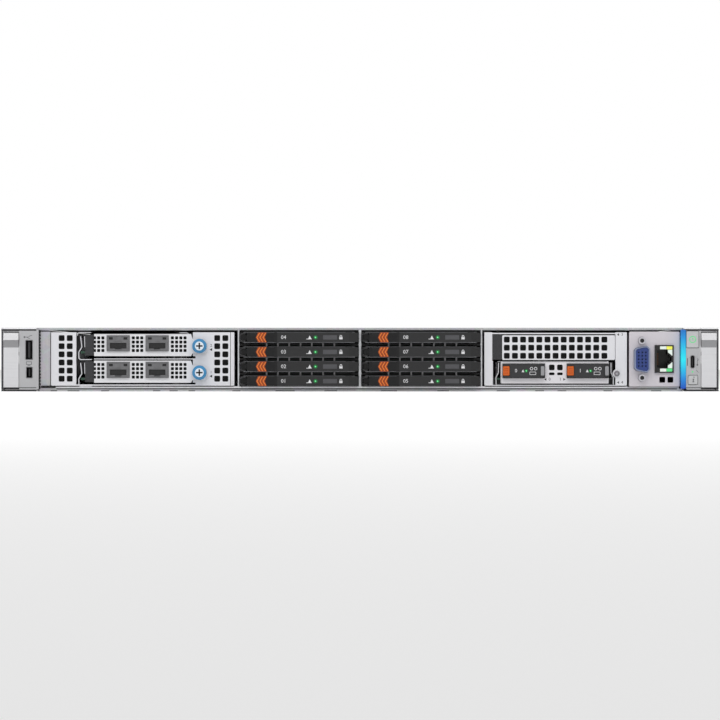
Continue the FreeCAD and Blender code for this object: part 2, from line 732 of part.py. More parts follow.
def card_brackets():
    """Front plates of the two cards: vents, port windows and the tab under the thumbscrew."""
    bracket = Piece("card_brackets")
    face = -size("bracket_reach")
    low = size("bracket_low")
    high = low + size("bracket_height")
    tab_right = screw_across + 4.4
    tab_low = screw_lift - 5
    tab_high = screw_lift + 5
    rise = size("card_pitch")
    plates = []
    windows = []
    for at in range(2):
        up = rise * at
        plates.append(polygon(
            (card_left, low + up), (card_right, low + up), (card_right + 1, tab_low + up),
            (tab_right, tab_low + up), (tab_right, tab_high - 3 + up), (tab_right - 3, tab_high + up),
            (card_right + 1, tab_high + up), (card_right, high + up), (card_left, high + up)))
        windows.append(circle(screw_across, screw_lift + up, size("screw_shank") + size("running_gap")))
        for port in range(2):
            windows.append(port_outline(0.15, low + 3.4 + up, port))
    bracket.pad("XZ", face, plate_face, *plates)
    bracket.cut("XZ", face - OVERCUT, plate_face + OVERCUT, *windows)
    port_end = card_left + size("port_offset") + size("port_width")
    groups = ((card_left + 3.1, 2), (port_end + 2.5, 3), (port_end + size("port_pitch") + 2.6, 4))
    for at in range(2):
        for across, columns in groups:
            hole = bracket.cut("XZ", face - OVERCUT, plate_face + OVERCUT,
                               square(across, low + 3.8 + rise * at, size("small_vent")))
            bracket.grid([hole], columns, size("small_pitch"), 4, size("small_pitch"))


def card_port_cages():
    """Port cages of the cards: metal boxes with a keyed mouth and two light windows."""
    cages = Piece("card_port_cages")
    face = -size("bracket_reach") - 0.8
    low = size("bracket_low") + 3.4
    middle = card_left + size("port_offset") + size("port_width") / 2
    box = cages.pad("XZ", face, face + size("port_depth"), port_outline(0, low))
    slot_half = size("port_slot_width") / 2
    slot_top = low + 1.7 + size("port_slot_height")
    mouth = cages.cut("XZ", face - OVERCUT, face + 12,
                      polygon((middle - slot_half, low + 1.7), (middle - 2, low + 1.7), (middle - 2, low + 0.6),
                              (middle + 2, low + 0.6), (middle + 2, low + 1.7), (middle + slot_half, low + 1.7),
                              (middle + slot_half, slot_top), (middle - slot_half, slot_top)))
    lamps = cages.cut("XZ", face - OVERCUT, face + 1.5,
                      rectangle(middle - 6.2, slot_top + 2.2, middle - 3.6, slot_top + 3.8),
                      rectangle(middle + 3.6, slot_top + 2.2, middle + 6.2, slot_top + 3.8))
    cages.grid([box, mouth, lamps], 2, size("port_pitch"), 2, size("card_pitch"))


def card_boards():
    """Circuit boards of the two cards, each with its main chip and connector edge."""
    boards = Piece("card_boards")
    top = size("bracket_low") + 3.4
    low = top - size("card_board")
    outline = rectangle(window_left + 3, low, card_right, top)
    board = boards.pad("XZ", tray_front - 0.5, size("riser_depth") - 24, outline)
    chip = boards.pad("XZ", 62, 92, rectangle(card_left + 18, top, card_left + 48, top + 6))
    boards.grid([board, chip], 1, 1, 2, size("card_pitch"))


def thumbscrews():
    """Captive thumbscrews: turned heads with a cross recess, and shanks through bracket and frame."""
    names = ("thumbscrew_lower", "thumbscrew_upper")
    face = -size("bracket_reach") - gap
    head = size("screw_head")
    screw = Piece(names[0])
    shank = size("screw_shank")
    end = plate_face + metal + 3
    profile = polygon((0, face - 5.2), (head * 0.62, face - 5.2), (head * 0.72, face - 4.4),
                      (head - 0.5, face - 4.4), (head, face - 3.9), (head, face - 0.6), (head - 0.6, face),
                      (shank, face), (shank, end - 1), (shank - 0.8, end), (0, end))
    screw.turn("XY", profile)
    screw.cut("XZ", face - 5.2 - OVERCUT, face - 3.4, rectangle(-2.2, -0.5, 2.2, 0.5))
    screw.cut("XZ", face - 5.2 - OVERCUT, face - 3.4, rectangle(-0.5, -2.2, 0.5, 2.2))
    screw.place(screw_across, 0, screw_lift)
    copy_of(screw, names[1], screw_across, 0, screw_lift + size("card_pitch"))


# ---- drives -------------------------------------------------------------------------------------

def drive_cage():
    """Two columns of four bays: walls, floor, top, divider, and ribbed rails that carry the drives."""
    cage = Piece("drive_cage")
    front = plate_face + 1
    end = front + size("cage_length")
    clear = column_clear
    edge = size("divider") / 2
    cage.pad("XZ", front, end,
             rectangle(-cage_half, metal, cage_half, stack_high),
             rectangle(-edge - clear, stack_low, -edge, stack_high - 0.8),
             rectangle(edge, stack_low, edge + clear, stack_high - 0.8))
    shelf_up = stack_low + drive_pitch
    rail = size("shelf_height") / 2
    rails = []
    for side in (-1, 1):
        for near, far in ((edge, edge + size("shelf_rail")), (edge + clear - size("shelf_rail"), edge + clear)):
            low, high = span(side, near, far)
            rails.append(rectangle(low, shelf_up - rail, high, shelf_up + rail))
    sills = cage.pad("XZ", front + 1, end - 10, *rails)
    cage.grid([sills], 1, 1, 3, drive_pitch)
    floor_rails = []
    for outline in rails:
        left = outline["points"][0][0]
        right = outline["points"][1][0]
        floor_rails.append(rectangle(left, stack_low, right, stack_low + rail))
    cage.pad("XZ", front + 1, end - 10, *floor_rails)
    strips = []
    for side in (-1, 1):
        low, high = span(side, edge + size("shelf_rail"), edge + clear - size("shelf_rail"))
        strips.append(rectangle(low, shelf_up - 0.4, high, shelf_up + 0.4))
    comb = cage.pad("XZ", front + 1, front + 12, *strips)
    cage.grid([comb], 1, 1, 3, drive_pitch)
    for side in (-1, 1):
        first = column_middle * side - 3 * size("rib_pitch") + 1
        rib = cage.pad("XZ", front + 1, front + 6,
                       rectangle(first - size("rib_width") / 2, shelf_up - rail,
                                 first + size("rib_width") / 2, shelf_up + rail))
        cage.grid([rib], 7, size("rib_pitch"), 3, drive_pitch)
    cage.cut("XZ", front - OVERCUT, tray_front + metal + gap,
             rectangle(-cage_half - OVERCUT, 0, cage_half + OVERCUT, size("lip_height") + gap))


face_low = -size("carrier_height") / 2
face_high = size("carrier_height") / 2
drive_face = -size("drive_reach")
carrier_back = tray_front                      # where the carrier face meets the drive case
carrier_half = (column_clear - size("carrier_play")) / 2
lever_pin_across = -carrier_half + size("knuckle") / 2 - 0.05
lever_pin_back = drive_face + 2.6
lever_left = -carrier_half + size("knuckle")
lever_right = lever_left + size("lever_length")
label_left = lever_right + 1.6
lug = size("carrier_height") / 2 - 1.2         # underside of the hinge lugs, from the row's middle


def drive_tongue():
    """Half sizes of the edge connector."""
    return size("edge_width") / 2, size("edge_thickness") / 2


def drive():
    """A drive in its carrier, about the middle of its bay: case, face, hinge lugs and edge connector."""
    piece = Piece("drive_1")
    case = (column_clear - size("case_play")) / 2
    thick = size("drive_thickness") / 2
    case_end = carrier_back + size("drive_length")
    tongue_across, tongue_up = drive_tongue()
    chamfer = 0.8
    case_outline = polygon((-case + chamfer, -thick), (case - chamfer, -thick), (case, -thick + chamfer),
                           (case, thick - chamfer), (case - chamfer, thick), (-case + chamfer, thick),
                           (-case, thick - chamfer), (-case, -thick + chamfer))
    piece.pad("XZ", carrier_back, case_end, case_outline)
    piece.pad("XZ", drive_face, carrier_back, rounded(label_left, face_low, carrier_half, face_high, 0.5))
    piece.pad("XZ", carrier_back - 0.8, carrier_back,
              rectangle(-carrier_half, face_low, label_left, face_high))
    pin_hole = circle(lever_pin_across, lever_pin_back, size("lever_pin") + size("running_gap"))
    lug_round = size("knuckle") / 2 - 0.1
    for low, high in ((lug, face_high), (face_low, -lug)):
        piece.pad("XY", low, high,
                  rectangle(lever_pin_across - lug_round, lever_pin_back,
                            lever_pin_across + lug_round, carrier_back - 0.8))
        piece.pad("XY", low, high, circle(lever_pin_across, lever_pin_back, lug_round))
        piece.cut("XY", low - 0.5, high + 0.5, pin_hole)
    piece.pad("XZ", case_end, case_end + size("edge_length"),
              rectangle(-tongue_across, -tongue_up, tongue_across, tongue_up))
    return piece


def drive_latch():
    """Release lever: grip with three raised chevrons, hinge tongue and pin."""
    lever = Piece("drive_1_latch")
    front = drive_face + 0.2
    back = carrier_back - 1.3
    lever.pad("XZ", front, back, rounded(lever_left, face_low, lever_right, face_high, 0.5))
    knuckle_round = lever_pin_back - front - 0.2
    lever.pad("XY", -lug + gap, lug - gap,
              rectangle(lever_pin_across, front + 0.4, lever_left + 0.6, back))
    lever.pad("XY", -lug + gap, lug - gap, circle(lever_pin_across, lever_pin_back, knuckle_round))
    lever.pad("XY", face_low + 0.1, face_high - 0.1,
              circle(lever_pin_across, lever_pin_back, size("lever_pin")))
    point = lever_left + 6.4
    wide = 2.1
    grip = polygon((point, 0), (point + 1.7, face_low + 0.3), (point + 1.7 + wide, face_low + 0.3),
                   (point + wide, 0), (point + 1.7 + wide, face_high - 0.3), (point + 1.7, face_high - 0.3))
    chevron = lever.pad("XZ", drive_face, front + 0.5, grip)
    lever.grid([chevron], 3, 3.1)
    return lever


def drives():
    """Eight carriers and their levers: four rows in each of two columns, counted up from the lower left."""
    first_drive = drive()
    first_lever = drive_latch()
    for at in range(8):
        across = column_middle * (-1 if at < 4 else 1)
        up = stack_low + drive_pitch * (at % 4 + 0.5)
        if at == 0:
            first_drive.place(across, 0, up)
            first_lever.place(across, 0, up)
        else:
            copy_of(first_drive, "drive_%d" % (at + 1), across, 0, up)
            copy_of(first_lever, "drive_%d_latch" % (at + 1), across, 0, up)


def drive_backplane():
    """Board behind the cage, with a slotted connector for each drive."""
    board = Piece("drive_backplane")
    front = plate_face + 1 + size("cage_length") + gap
    low = stack_low + 1
    board.pad("XZ", front, front + size("backplane"), rectangle(-cage_half, low, cage_half, stack_high - 1))
    tongue_across, tongue_up = drive_tongue()
    up = stack_low + drive_pitch / 2
    drive_end = carrier_back + size("drive_length")
    across = -column_middle
    block = board.pad("XZ", drive_end + 0.6, front,
                      rectangle(across - tongue_across - 2, up - tongue_up - 1.6,
                                across + tongue_across + 2, up + tongue_up + 1.6))
    slot = board.cut("XZ", drive_end + 0.6 - OVERCUT, drive_end + size("edge_length") + 0.4,
                     rectangle(across - tongue_across - gap, up - tongue_up - gap,
                               across + tongue_across + gap, up + tongue_up + gap))
    board.grid([block, slot], 2, column_middle * 2, 4, drive_pitch)


# ---- right riser: vented blank and boot drives ----------------------------------------------------

blank_left = boot_left + size("left_strip") + size("blank_inset")
strip_left = boot_right - size("right_strip")
window_edge = boot_left + size("left_strip") + 0.5
module_left = boot_left + 7.9
module_right = strip_left - 1.6
module_high = size("module_low") + size("module_height")
boot_across = module_left + 4.5
boot_low = size("module_low") + 3.8
module_front = plate_face - 0.2
module_back = module_front + size("boot_length") + 4


def right_riser_frame():
    """Sheet frame between the drive cage and the service panel, open for the blank and the boot module."""
    frame = Piece("right_riser_frame")
    back = plate_face + metal
    low = size("panel_low")
    high = stack_high - 0.4
    frame.pad("XZ", plate_face, back, rounded(boot_left, low, boot_right, high, size("corner")))
    frame.cut("XZ", plate_face - OVERCUT, back + OVERCUT,
              rectangle(window_edge, size("blank_low") - 0.1, strip_left, size("blank_low")
                        + size("blank_height") + 0.4),
              rectangle(module_left - gap, size("module_low") - gap, module_right + gap, module_high + gap))
    for near, far in ((boot_left, boot_left + metal), (boot_right - metal, boot_right)):
        frame.pad("YZ", near, far, rectangle(back, low + 1, module_back + 20, high - 1))
        frame.pad("YZ", near, far, rectangle(tray_front + 2, metal * 2, module_back + 20, low + 1))
    frame.pad("XY", metal, metal * 2, rectangle(boot_left, tray_front + 2, boot_right, module_back + 20))
    frame.cut("XZ", plate_face - OVERCUT, back + OVERCUT,
              circle(strip_left + 1.9, size("module_low") + 6.7, 1.25))


def vent_blank():
    """Blank for the unused slot: vented plate with folded edges."""
    blank = Piece("vent_blank")
    low = size("blank_low")
    high = low + size("blank_height")
    right = strip_left - gap
    face = plate_face - 0.2
    blank.pad("XZ", face, face + metal, rounded(blank_left, low, right, high, size("corner")))
    for under, over in ((low, low + metal), (high - metal, high)):
        blank.pad("XY", under, over, rectangle(blank_left + 1, face + metal, right - 1, face + metal + 8))
    vents(blank, face, face + metal, blank_left + 3.1, 13, low + 2.8, 3)


def boot_module_frame():
    """Cage of the two boot drives: face plate, floor, top and side walls."""
    frame = Piece("boot_module_frame")
    back = module_front + metal
    low = size("module_low")
    shelf_top = boot_low - gap
    roof_low = boot_low + size("boot_height") + gap
    frame.pad("XZ", module_front, back, rounded(module_left, low, module_right, module_high, size("corner")))
    openings = []
    for at in range(2):
        left = boot_across + size("boot_pitch") * at
        openings.append(rectangle(left - gap, boot_low - gap, left + size("boot_width") + gap, roof_low))
    frame.cut("XZ", module_front - OVERCUT, back + OVERCUT, *openings)
    frame.pad("XY", shelf_top - 0.8, shelf_top, rectangle(module_left, back, module_right, module_back))
    frame.pad("XY", roof_low, roof_low + 0.8, rectangle(module_left, back, module_right, module_back))
    for near, far in ((module_left, module_left + metal), (module_right - metal, module_right)):
        frame.pad("YZ", near, far, rectangle(back, shelf_top, module_back, roof_low))
        frame.pad("YZ", near, far, rectangle(tray_front + 2, metal * 2, module_back, shelf_top - 0.8))
    middle = boot_across + (size("boot_width") + size("boot_pitch")) / 2
    for at in (-1, 1):
        across = middle + size("vent_pitch") / 2 * at
        frame.cut("XZ", module_front - OVERCUT, back + OVERCUT,
                  square(across, boot_low + 7.0, size("vent_size") - 0.4),
                  rectangle(across - 1.6, boot_low + 1.9, across + 1.6, boot_low + 3.4))


def boot_drive():
    """Boot drive carrier: a face with a finger tab, and a tray with the drive on it."""
    carrier = Piece("boot_drive_left")
    width = size("boot_width")
    height = size("boot_height")
    face = module_front - 2.4
    carrier.pad("XZ", face, face + 6, rounded(0, 0, width, height, 0.6))
    carrier.pad("XZ", face + 6, module_front + size("boot_length"),
                polygon((0.8, 0), (width - 0.8, 0), (width - 0.8, 3.0), (width - 2.4, 3.0),
                        (width - 2.4, 1.2), (2.4, 1.2), (2.4, 3.0), (0.8, 3.0)))
    carrier.pad("XZ", face + 9, module_front + size("boot_length") - 1,
                rectangle(width / 2 - 11, 1.2, width / 2 + 11, 4.6))
    carrier.pad("XZ", face - 1.6, face, rounded(width - 2.7, 1.0, width, height - 1.0, 0.5))
    release_low = height / 2 - size("release_height") / 2
    carrier.cut("XZ", face - OVERCUT, face + 5.2,
                rectangle(-OVERCUT, release_low - gap, size("release_width") + gap,
                          release_low + size("release_height") + gap))
    carrier.place(boot_across, 0, boot_low)
    copy_of(carrier, "boot_drive_right", boot_across + size("boot_pitch"), 0, boot_low)


def boot_release():
    """Release key at the left end of a boot carrier."""
    key = Piece("boot_release_left")
    face = module_front - 2.4
    low = size("boot_height") / 2 - size("release_height") / 2
    key.pad("XZ", face - 0.4, face + 3.2,
            rounded(0.1, low, size("release_width"), low + size("release_height"), 0.5))
    grip = key.cut("XZ", face - OVERCUT, face, rectangle(1.0, low + 1.2, size("release_width") - 0.8, low + 1.8))
    key.grid([grip], 1, 1, 3, 1.5)
    key.place(boot_across, 0, boot_low)
    copy_of(key, "boot_release_right", boot_across + size("boot_pitch"), 0, boot_low)


# ---- service panel ---------------------------------------------------------------------------------

video_across = service_left + size("video_across")
jack_left = service_left + size("jack_left")


def d_outline(grow):
    """Upright D shape of a video port, wider towards the right."""
    left = video_across - size("video_width") / 2 - grow
    right = video_across + size("video_width") / 2 + grow
    tall = size("video_length") / 2 + grow
    short = tall - 1.4
    middle = size("video_height")
    return polygon((left, middle - short + 1.5), (left + 1.5, middle - short), (right - 2, middle - tall),
                   (right, middle - tall + 2), (right, middle + tall - 2), (right - 2, middle + tall),
                   (left + 1.5, middle + short), (left, middle + short - 1.5))


def io_panel():
    """Service panel: plate with cut-outs for the video port and the jack, folded sides and foot."""
    panel = Piece("io_panel")
    back = plate_face + metal
    low = size("panel_low") - 0.6
    right = service_left + size("service_width")
    panel.pad("XZ", plate_face, back,
              rounded(service_left, low, right, size("panel_high"), size("corner")))
    posts = [circle(video_across, size("video_height") + size("jack_post_spacing") / 2 * at, 2.7)
             for at in (-1, 1)]
    panel.cut("XZ", plate_face - OVERCUT, back + OVERCUT, d_outline(0.2), *posts)
    panel.cut("XZ", plate_face - OVERCUT, back + OVERCUT,
              rectangle(jack_left - 0.1, size("jack_low") - 0.1, jack_left + size("jack_width") + 0.1,
                        size("jack_low") + size("jack_length") + 0.1))
    hole = panel.cut("XZ", plate_face - OVERCUT, back + OVERCUT,
                     square(service_left + 22.3, low + 4.6, size("vent_size")))
    panel.grid([hole], 2, size("vent_pitch"))
    for near, far in ((service_left, service_left + metal), (right - metal, right)):
        panel.pad("YZ", near, far, rectangle(back, low + 1, 40, size("panel_high") - 1))
        panel.pad("YZ", near, far, rectangle(tray_front + 2, metal, 40, low + 1))


def video_port():
    """Video port: flange behind the panel, D shell with its socket face, and two threaded posts."""
    port = Piece("video_port")
    back = plate_face + metal
    middle = size("video_height")
    reach = size("jack_post_spacing") / 2
    port.pad("XZ", back, back + 1.2, rounded(video_across - 6.2, middle - reach - 3.2,
                                             video_across + 6.2, middle + reach + 3.2, 1.5))
    port.pad("XZ", back + 1.2, back + 11, rectangle(video_across - 6, middle - 9, video_across + 6, middle + 9))
    port.pad("XZ", plate_face - 4.5, back, d_outline(0))
    port.cut("XZ", plate_face - 4.5 - OVERCUT, plate_face - 3.9, d_outline(-0.6))
    row = port.cut("XZ", plate_face - 4.5, plate_face - 1.5,
                   square(video_across - 2.4, middle - 4.6, 1.0))
    port.grid([row], 3, 2.4, 5, 2.3)
    for at in (-1, 1):
        post_up = middle + reach * at
        port.pad("XZ", plate_face - 3.4, back, circle(video_across, post_up, 2.5))
        port.cut("XZ", plate_face - 3.4 - OVERCUT, back + 1.2 + OVERCUT,
                 circle(video_across, post_up, size("jack_thread")))


def ethernet_jack():
    """Upright network jack: stepped mouth towards the right, contact block and light windows."""
    jack = Piece("ethernet_jack")
    face = plate_face - 1.4
    low = size("jack_low")
    high = low + size("jack_length")
    middle = (low + high) / 2
    right = jack_left + size("jack_width")
    jack.pad("XZ", face, plate_face + 20, rectangle(jack_left, low, right, high))
    mouth = polygon((jack_left + 1.2, middle - 5.95), (right - 4.2, middle - 5.95), (right - 4.2, middle - 3.0),
                    (right - 2.6, middle - 3.0), (right - 2.6, middle - 1.6), (right - 1.4, middle - 1.6),
                    (right - 1.4, middle + 1.6), (right - 2.6, middle + 1.6), (right - 2.6, middle + 3.0),
                    (right - 4.2, middle + 3.0), (right - 4.2, middle + 5.95), (jack_left + 1.2, middle + 5.95))
    jack.cut("XZ", face - OVERCUT, face + 15, mouth)
    for at in (-1, 1):
        lamp = middle + at * 7.2
        jack.cut("XZ", face - OVERCUT, face + 0.6,
                 rectangle(right - 4.6, lamp - 1.2, right - 0.8, lamp + 1.2))


# ---- inside ------------------------------------------------------------------------------------------

def mainboard():
    """Mainboard on its posts, with processor sockets and the supplies' connectors."""
    board = Piece("mainboard")
    front = size("board_front")
    end = board_back
    wide = inner - 4
    tail = supply_left - gap - metal - 4
    outline = polygon((-wide, front), (wide, front), (wide, end), (tail, end), (tail, end + 120),
                      (-tail, end + 120), (-tail, end), (-wide, end))
    board.pad("XY", board_low, board_top, outline)
    sockets = []
    plugs = []
    for side in (-1, 1):
        across = size("processor_across") * side
        back = processor_back
        sockets.append(rectangle(across - 37, back - 28, across + 37, back + 28))
        middle = supply_middle * side
        plugs.append(rectangle(middle - 22, end - 16, middle + 22, end - 2))
    board.pad("XY", board_top, board_top + 4, *sockets)
    board.pad("XY", board_top, board_top + 9, *plugs)


def heatsinks():
    """Two finned heatsinks on the processor sockets."""
    sink = Piece("heatsinks")
    low = board_top + 4
    base = 3.0
    front = processor_back - size("sink_length") / 2
    left = -size("processor_across") - size("sink_width") / 2
    fins = 16
    pitch = (size("sink_width") - size("fin_thickness")) / (fins - 1)
    features = [sink.pad("XZ", front, front + size("sink_length"),
                         rectangle(left, low, left + size("sink_width"), low + base))]
    sink.grid(features, 2, size("processor_across") * 2)
    for side in (-1, 1):
        first = size("processor_across") * side - size("sink_width") / 2
        fin = sink.pad("XZ", front, front + size("sink_length"),
                       rectangle(first, low + base, first + size("fin_thickness"),
                                 low + base + size("fin_height")))
        sink.grid([fin], fins, pitch)


def memory_modules():
    """Sixteen memory modules in their sockets, four on each side of each processor."""
    modules = Piece("memory_modules")
    pitch = size("memory_pitch")
    front = processor_back - size("memory_length") / 2
    socket_high = board_top + 6
    for side in (-1, 1):
        for hand in (-1, 1):
            first = size("processor_across") * side + hand * (size("sink_width") / 2 + 9)
            if hand < 0:
                first = first - 3 * pitch
            profile = polygon((first - 3.2, board_top), (first + 3.2, board_top), (first + 3.2, socket_high),
                              (first + 0.7, socket_high), (first + 0.7, socket_high + size("memory_height")),
                              (first - 0.7, socket_high + size("memory_height")), (first - 0.7, socket_high),
                              (first - 3.2, socket_high))
            module = modules.pad("XZ", front, front + size("memory_length"), profile)
            modules.grid([module], 4, pitch)


fan_up = metal + size("fan_size") / 2
first_fan = -size("fan_pitch") * 2.5
bearing_front = size("fan_front") + size("fan_depth") - 10


def fan_housings():
    """Six square fan frames, each with a round duct, four struts and the rotor's bearing."""
    housing = Piece("fan_housings")
    front = size("fan_front")
    end = front + size("fan_depth")
    edge = size("fan_size") / 2
    bore = size("fan_bore")
    frame = housing.pad("XZ", front, end, rounded(first_fan - edge, fan_up - edge,
                                                  first_fan + edge, fan_up + edge, 3))
    duct = housing.cut("XZ", front - OVERCUT, end + OVERCUT, circle(first_fan, fan_up, bore))
    hub = housing.pad("XZ", bearing_front, end - 0.5, circle(first_fan, fan_up, size("fan_hub")))
    arms = housing.pad("XZ", bearing_front + 4, end - 0.5,
                       rectangle(first_fan - bore - 0.4, fan_up - 1, first_fan - size("fan_hub") + 1, fan_up + 1),
                       rectangle(first_fan + size("fan_hub") - 1, fan_up - 1, first_fan + bore + 0.4, fan_up + 1),
                       rectangle(first_fan - 1, fan_up + size("fan_hub") - 1, first_fan + 1, fan_up + bore + 0.4),
                       rectangle(first_fan - 1, fan_up - bore - 0.4, first_fan + 1, fan_up - size("fan_hub") + 1))
    bearing = housing.cut("XZ", bearing_front - OVERCUT, end + OVERCUT,
                          circle(first_fan, fan_up, size("fan_shaft") + size("running_gap")))
    housing.grid([frame, duct, hub, arms, bearing], 6, size("fan_pitch"))


def fan_rotors():
    """Fan rotors: a hub, seven slanted blades that widen outwards, and the shaft in its bearing."""
    rotor = Piece("fan_rotor_1")
    front = 6.0
    hub_end = size("fan_depth") - 10 - 1
    hub = size("fan_hub")
    reach = size("fan_bore") - 1.2
    rotor.pad("XZ", front, hub_end, circle(0, 0, hub))
    rotor.pad("XZ", hub_end, size("fan_depth") - 2, circle(0, 0, size("fan_shaft")))
    sections = []
    for radius, slant, length in ((hub - 1.5, 4.6, 15.0), (reach, 5.52, 18.0)):
        middle = front + 14
        thick = size("blade_thickness") / 2
        outline = polygon((-slant - thick, middle - length / 2), (-slant + thick, middle - length / 2),
                          (slant + thick, middle + length / 2), (slant - thick, middle + length / 2))
        sections.append(rotor.sketch("XY", radius, [outline]))
    blade = rotor.body.newObject("PartDesign::AdditiveLoft", "fan_blade")
    blade.Profile = sections[0]
    blade.Sections = [sections[1]]
    blade.Ruled = True
    blades = rotor.body.newObject("PartDesign::PolarPattern", "fan_blades")
    blades.Originals = [blade]
    blades.Axis = (rotor.origin_plane("Y_Axis"), [""])
    blades.Angle = 360.0
    blades.Occurrences = 7
    rotor.body.Tip = blades
    rotor.place(first_fan, size("fan_front"), fan_up)
    for at in range(1, 6):
        copy_of(rotor, "fan_rotor_%d" % (at + 1), first_fan + size("fan_pitch") * at,
                size("fan_front"), fan_up)


# ---- power supplies -----------------------------------------------------------------------------------

def supply(side, name, latch_name):
    """Power supply: case, mains inlet with its pins, fan grille, pull handle, and its sprung latch."""
    piece = Piece(name)
    low = supply_low
    high = supply_low + size("supply_height")
    rear = size("tray_length")
    piece.pad("XZ", supply_front, rear, mirrored(rectangle(supply_left, low, supply_right, high), side))
    inlet_middle = supply_right - size("inlet_width") / 2 - 4
    inlet_up = low + size("inlet_height") / 2 + 4
    inlet = rounded(inlet_middle - size("inlet_width") / 2, inlet_up - size("inlet_height") / 2,
                    inlet_middle + size("inlet_width") / 2, inlet_up + size("inlet_height") / 2, 2)
    piece.cut("XZ", rear - size("inlet_depth"), rear + OVERCUT, mirrored(inlet, side))
    pins = [rectangle(inlet_middle + at * 7 - 1, inlet_up - 2 - abs(at) * 1.5,
                      inlet_middle + at * 7 + 1, inlet_up + 2 - abs(at) * 1.5) for at in (-1, 0, 1)]
    piece.pad("XZ", rear - size("inlet_depth"), rear - 2, *[mirrored(pin, side) for pin in pins])
    grille = [mirrored(square(supply_left + across, low + 5.5, 4.0), side) for across in (10, 15.2)]
    vent = piece.cut("XZ", rear - 3, rear + OVERCUT, *grille)
    piece.grid([vent], 1, 1, 6, 5.6)
    handle_left = inlet_middle - size("inlet_width") / 2 - 3 - size("handle_width")
    strap = size("handle_metal")
    loop_low = low + 3
    loop_high = high - 3
    loop = rounded(rear - 1, loop_low, rear + size("handle_reach"), loop_high, 5)
    hollow = rounded(rear - 0.001, loop_low + strap, rear + size("handle_reach") - strap, loop_high - strap, 2)
    piece.pad("YZ", *span(side, handle_left, handle_left + size("handle_width")), loop)
    piece.cut("YZ", *span(side, handle_left - OVERCUT, handle_left + size("handle_width") + OVERCUT), hollow)
    key_left = supply_left + 0.8
    key_low = low + 10
    key_high = low + 28
    travel = 2.0
    piece.cut("XZ", rear - 8, rear + OVERCUT,
              mirrored(rectangle(key_left - gap, key_low - gap, key_left + 2.6 + travel + gap, key_high + gap),
                       side))
    key = Piece(latch_name)
    key.pad("XZ", rear - 8 + gap, rear + 12,
            mirrored(rectangle(key_left, key_low, key_left + 2.6, key_high), side))
    key.pad("XZ", rear + 9, rear + 12,
            mirrored(rectangle(key_left + 2.6, key_low, key_left + 4.2, key_high), side))


# ---- the assembly ---------------------------------------------------------------------------------------

chassis_tray()
front_top_plate()
top_cover()
cover_latch()
ears()
button("power_button", POWER_KEY)
button("id_button", IDENTITY_KEY)
front_ports()
ear_latch(-1, "left_ear_latch")
ear_latch(1, "right_ear_latch")
left_riser_frame()
card_brackets()
card_port_cages()
card_boards()
thumbscrews()
drive_cage()
drives()
drive_backplane()
right_riser_frame()
vent_blank()
boot_module_frame()
boot_drive()
boot_release()
io_panel()
video_port()
ethernet_jack()
mainboard()
heatsinks()
memory_modules()
fan_housings()
fan_rotors()
supply(-1, "psu_left", "psu_latch_left")
supply(1, "psu_right", "psu_latch_right")
doc.recompute()

for item in doc.Objects:
    if "Invalid" in item.State or "Error" in item.State:
        raise SystemExit("%s did not compute: %s" % (item.Name, item.State))
    if item.TypeId == "PartDesign::Pocket" and item.Shape.Volume >= item.BaseFeature.Shape.Volume - 1e-6:
        raise SystemExit("%s cuts nothing" % item.Name)

os.makedirs("parts", exist_ok=True)
for item in doc.Objects:
    if item.TypeId != "PartDesign::Body":
        continue
    if item.Shape.isNull() or not item.Shape.isValid():
        raise SystemExit("%s has no sound shape" % item.Label)
    item.Shape.exportStep("parts/%s.step" % item.Label)
    print("%-22s %3d solids  %10.1f mm3" % (item.Label, len(item.Shape.Solids), item.Shape.Volume))
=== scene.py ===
import math
import bmesh
import bpy
from mathutils import Matrix, Vector


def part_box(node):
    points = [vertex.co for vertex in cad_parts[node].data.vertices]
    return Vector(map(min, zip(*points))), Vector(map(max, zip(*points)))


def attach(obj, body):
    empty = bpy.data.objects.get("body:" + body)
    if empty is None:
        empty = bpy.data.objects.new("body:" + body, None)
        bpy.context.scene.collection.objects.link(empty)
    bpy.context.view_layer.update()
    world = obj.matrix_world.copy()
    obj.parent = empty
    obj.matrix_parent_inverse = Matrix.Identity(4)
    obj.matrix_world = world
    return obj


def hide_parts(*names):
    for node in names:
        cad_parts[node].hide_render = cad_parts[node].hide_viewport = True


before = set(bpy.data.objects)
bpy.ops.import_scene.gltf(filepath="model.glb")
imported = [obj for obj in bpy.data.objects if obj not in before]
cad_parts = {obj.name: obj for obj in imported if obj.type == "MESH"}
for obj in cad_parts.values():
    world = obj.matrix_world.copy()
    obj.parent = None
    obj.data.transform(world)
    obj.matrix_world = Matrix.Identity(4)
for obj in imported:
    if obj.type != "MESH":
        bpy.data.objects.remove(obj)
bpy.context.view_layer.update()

# ---- chassis tray ----
# The tray is one sheet of galvanised steel, folded up at the sides and the back, with riveted walls.
# Its shoulder studs hang in the rack rails, and a rolled hem closes it under the front plates.

MM = 0.001


class Value:
    """One output of a node, which can be added, multiplied and compared."""

    def __init__(self, nodes, socket):
        self.nodes = nodes
        self.socket = socket

    def maths(self, operation, second=0.0, turned=False):
        pair = (second, self) if turned else (self, second)
        return self.nodes.node("ShaderNodeMath", {"operation": operation}, dict(enumerate(pair)))

    __add__ = __radd__ = lambda self, other: self.maths("ADD", other)
    __sub__ = lambda self, other: self.maths("SUBTRACT", other)
    __rsub__ = lambda self, other: self.maths("SUBTRACT", other, True)
    __mul__ = __rmul__ = lambda self, other: self.maths("MULTIPLY", other)
    __gt__ = lambda self, other: self.maths("GREATER_THAN", other)
    __lt__ = lambda self, other: self.maths("LESS_THAN", other)
    __abs__ = lambda self: self.maths("ABSOLUTE")


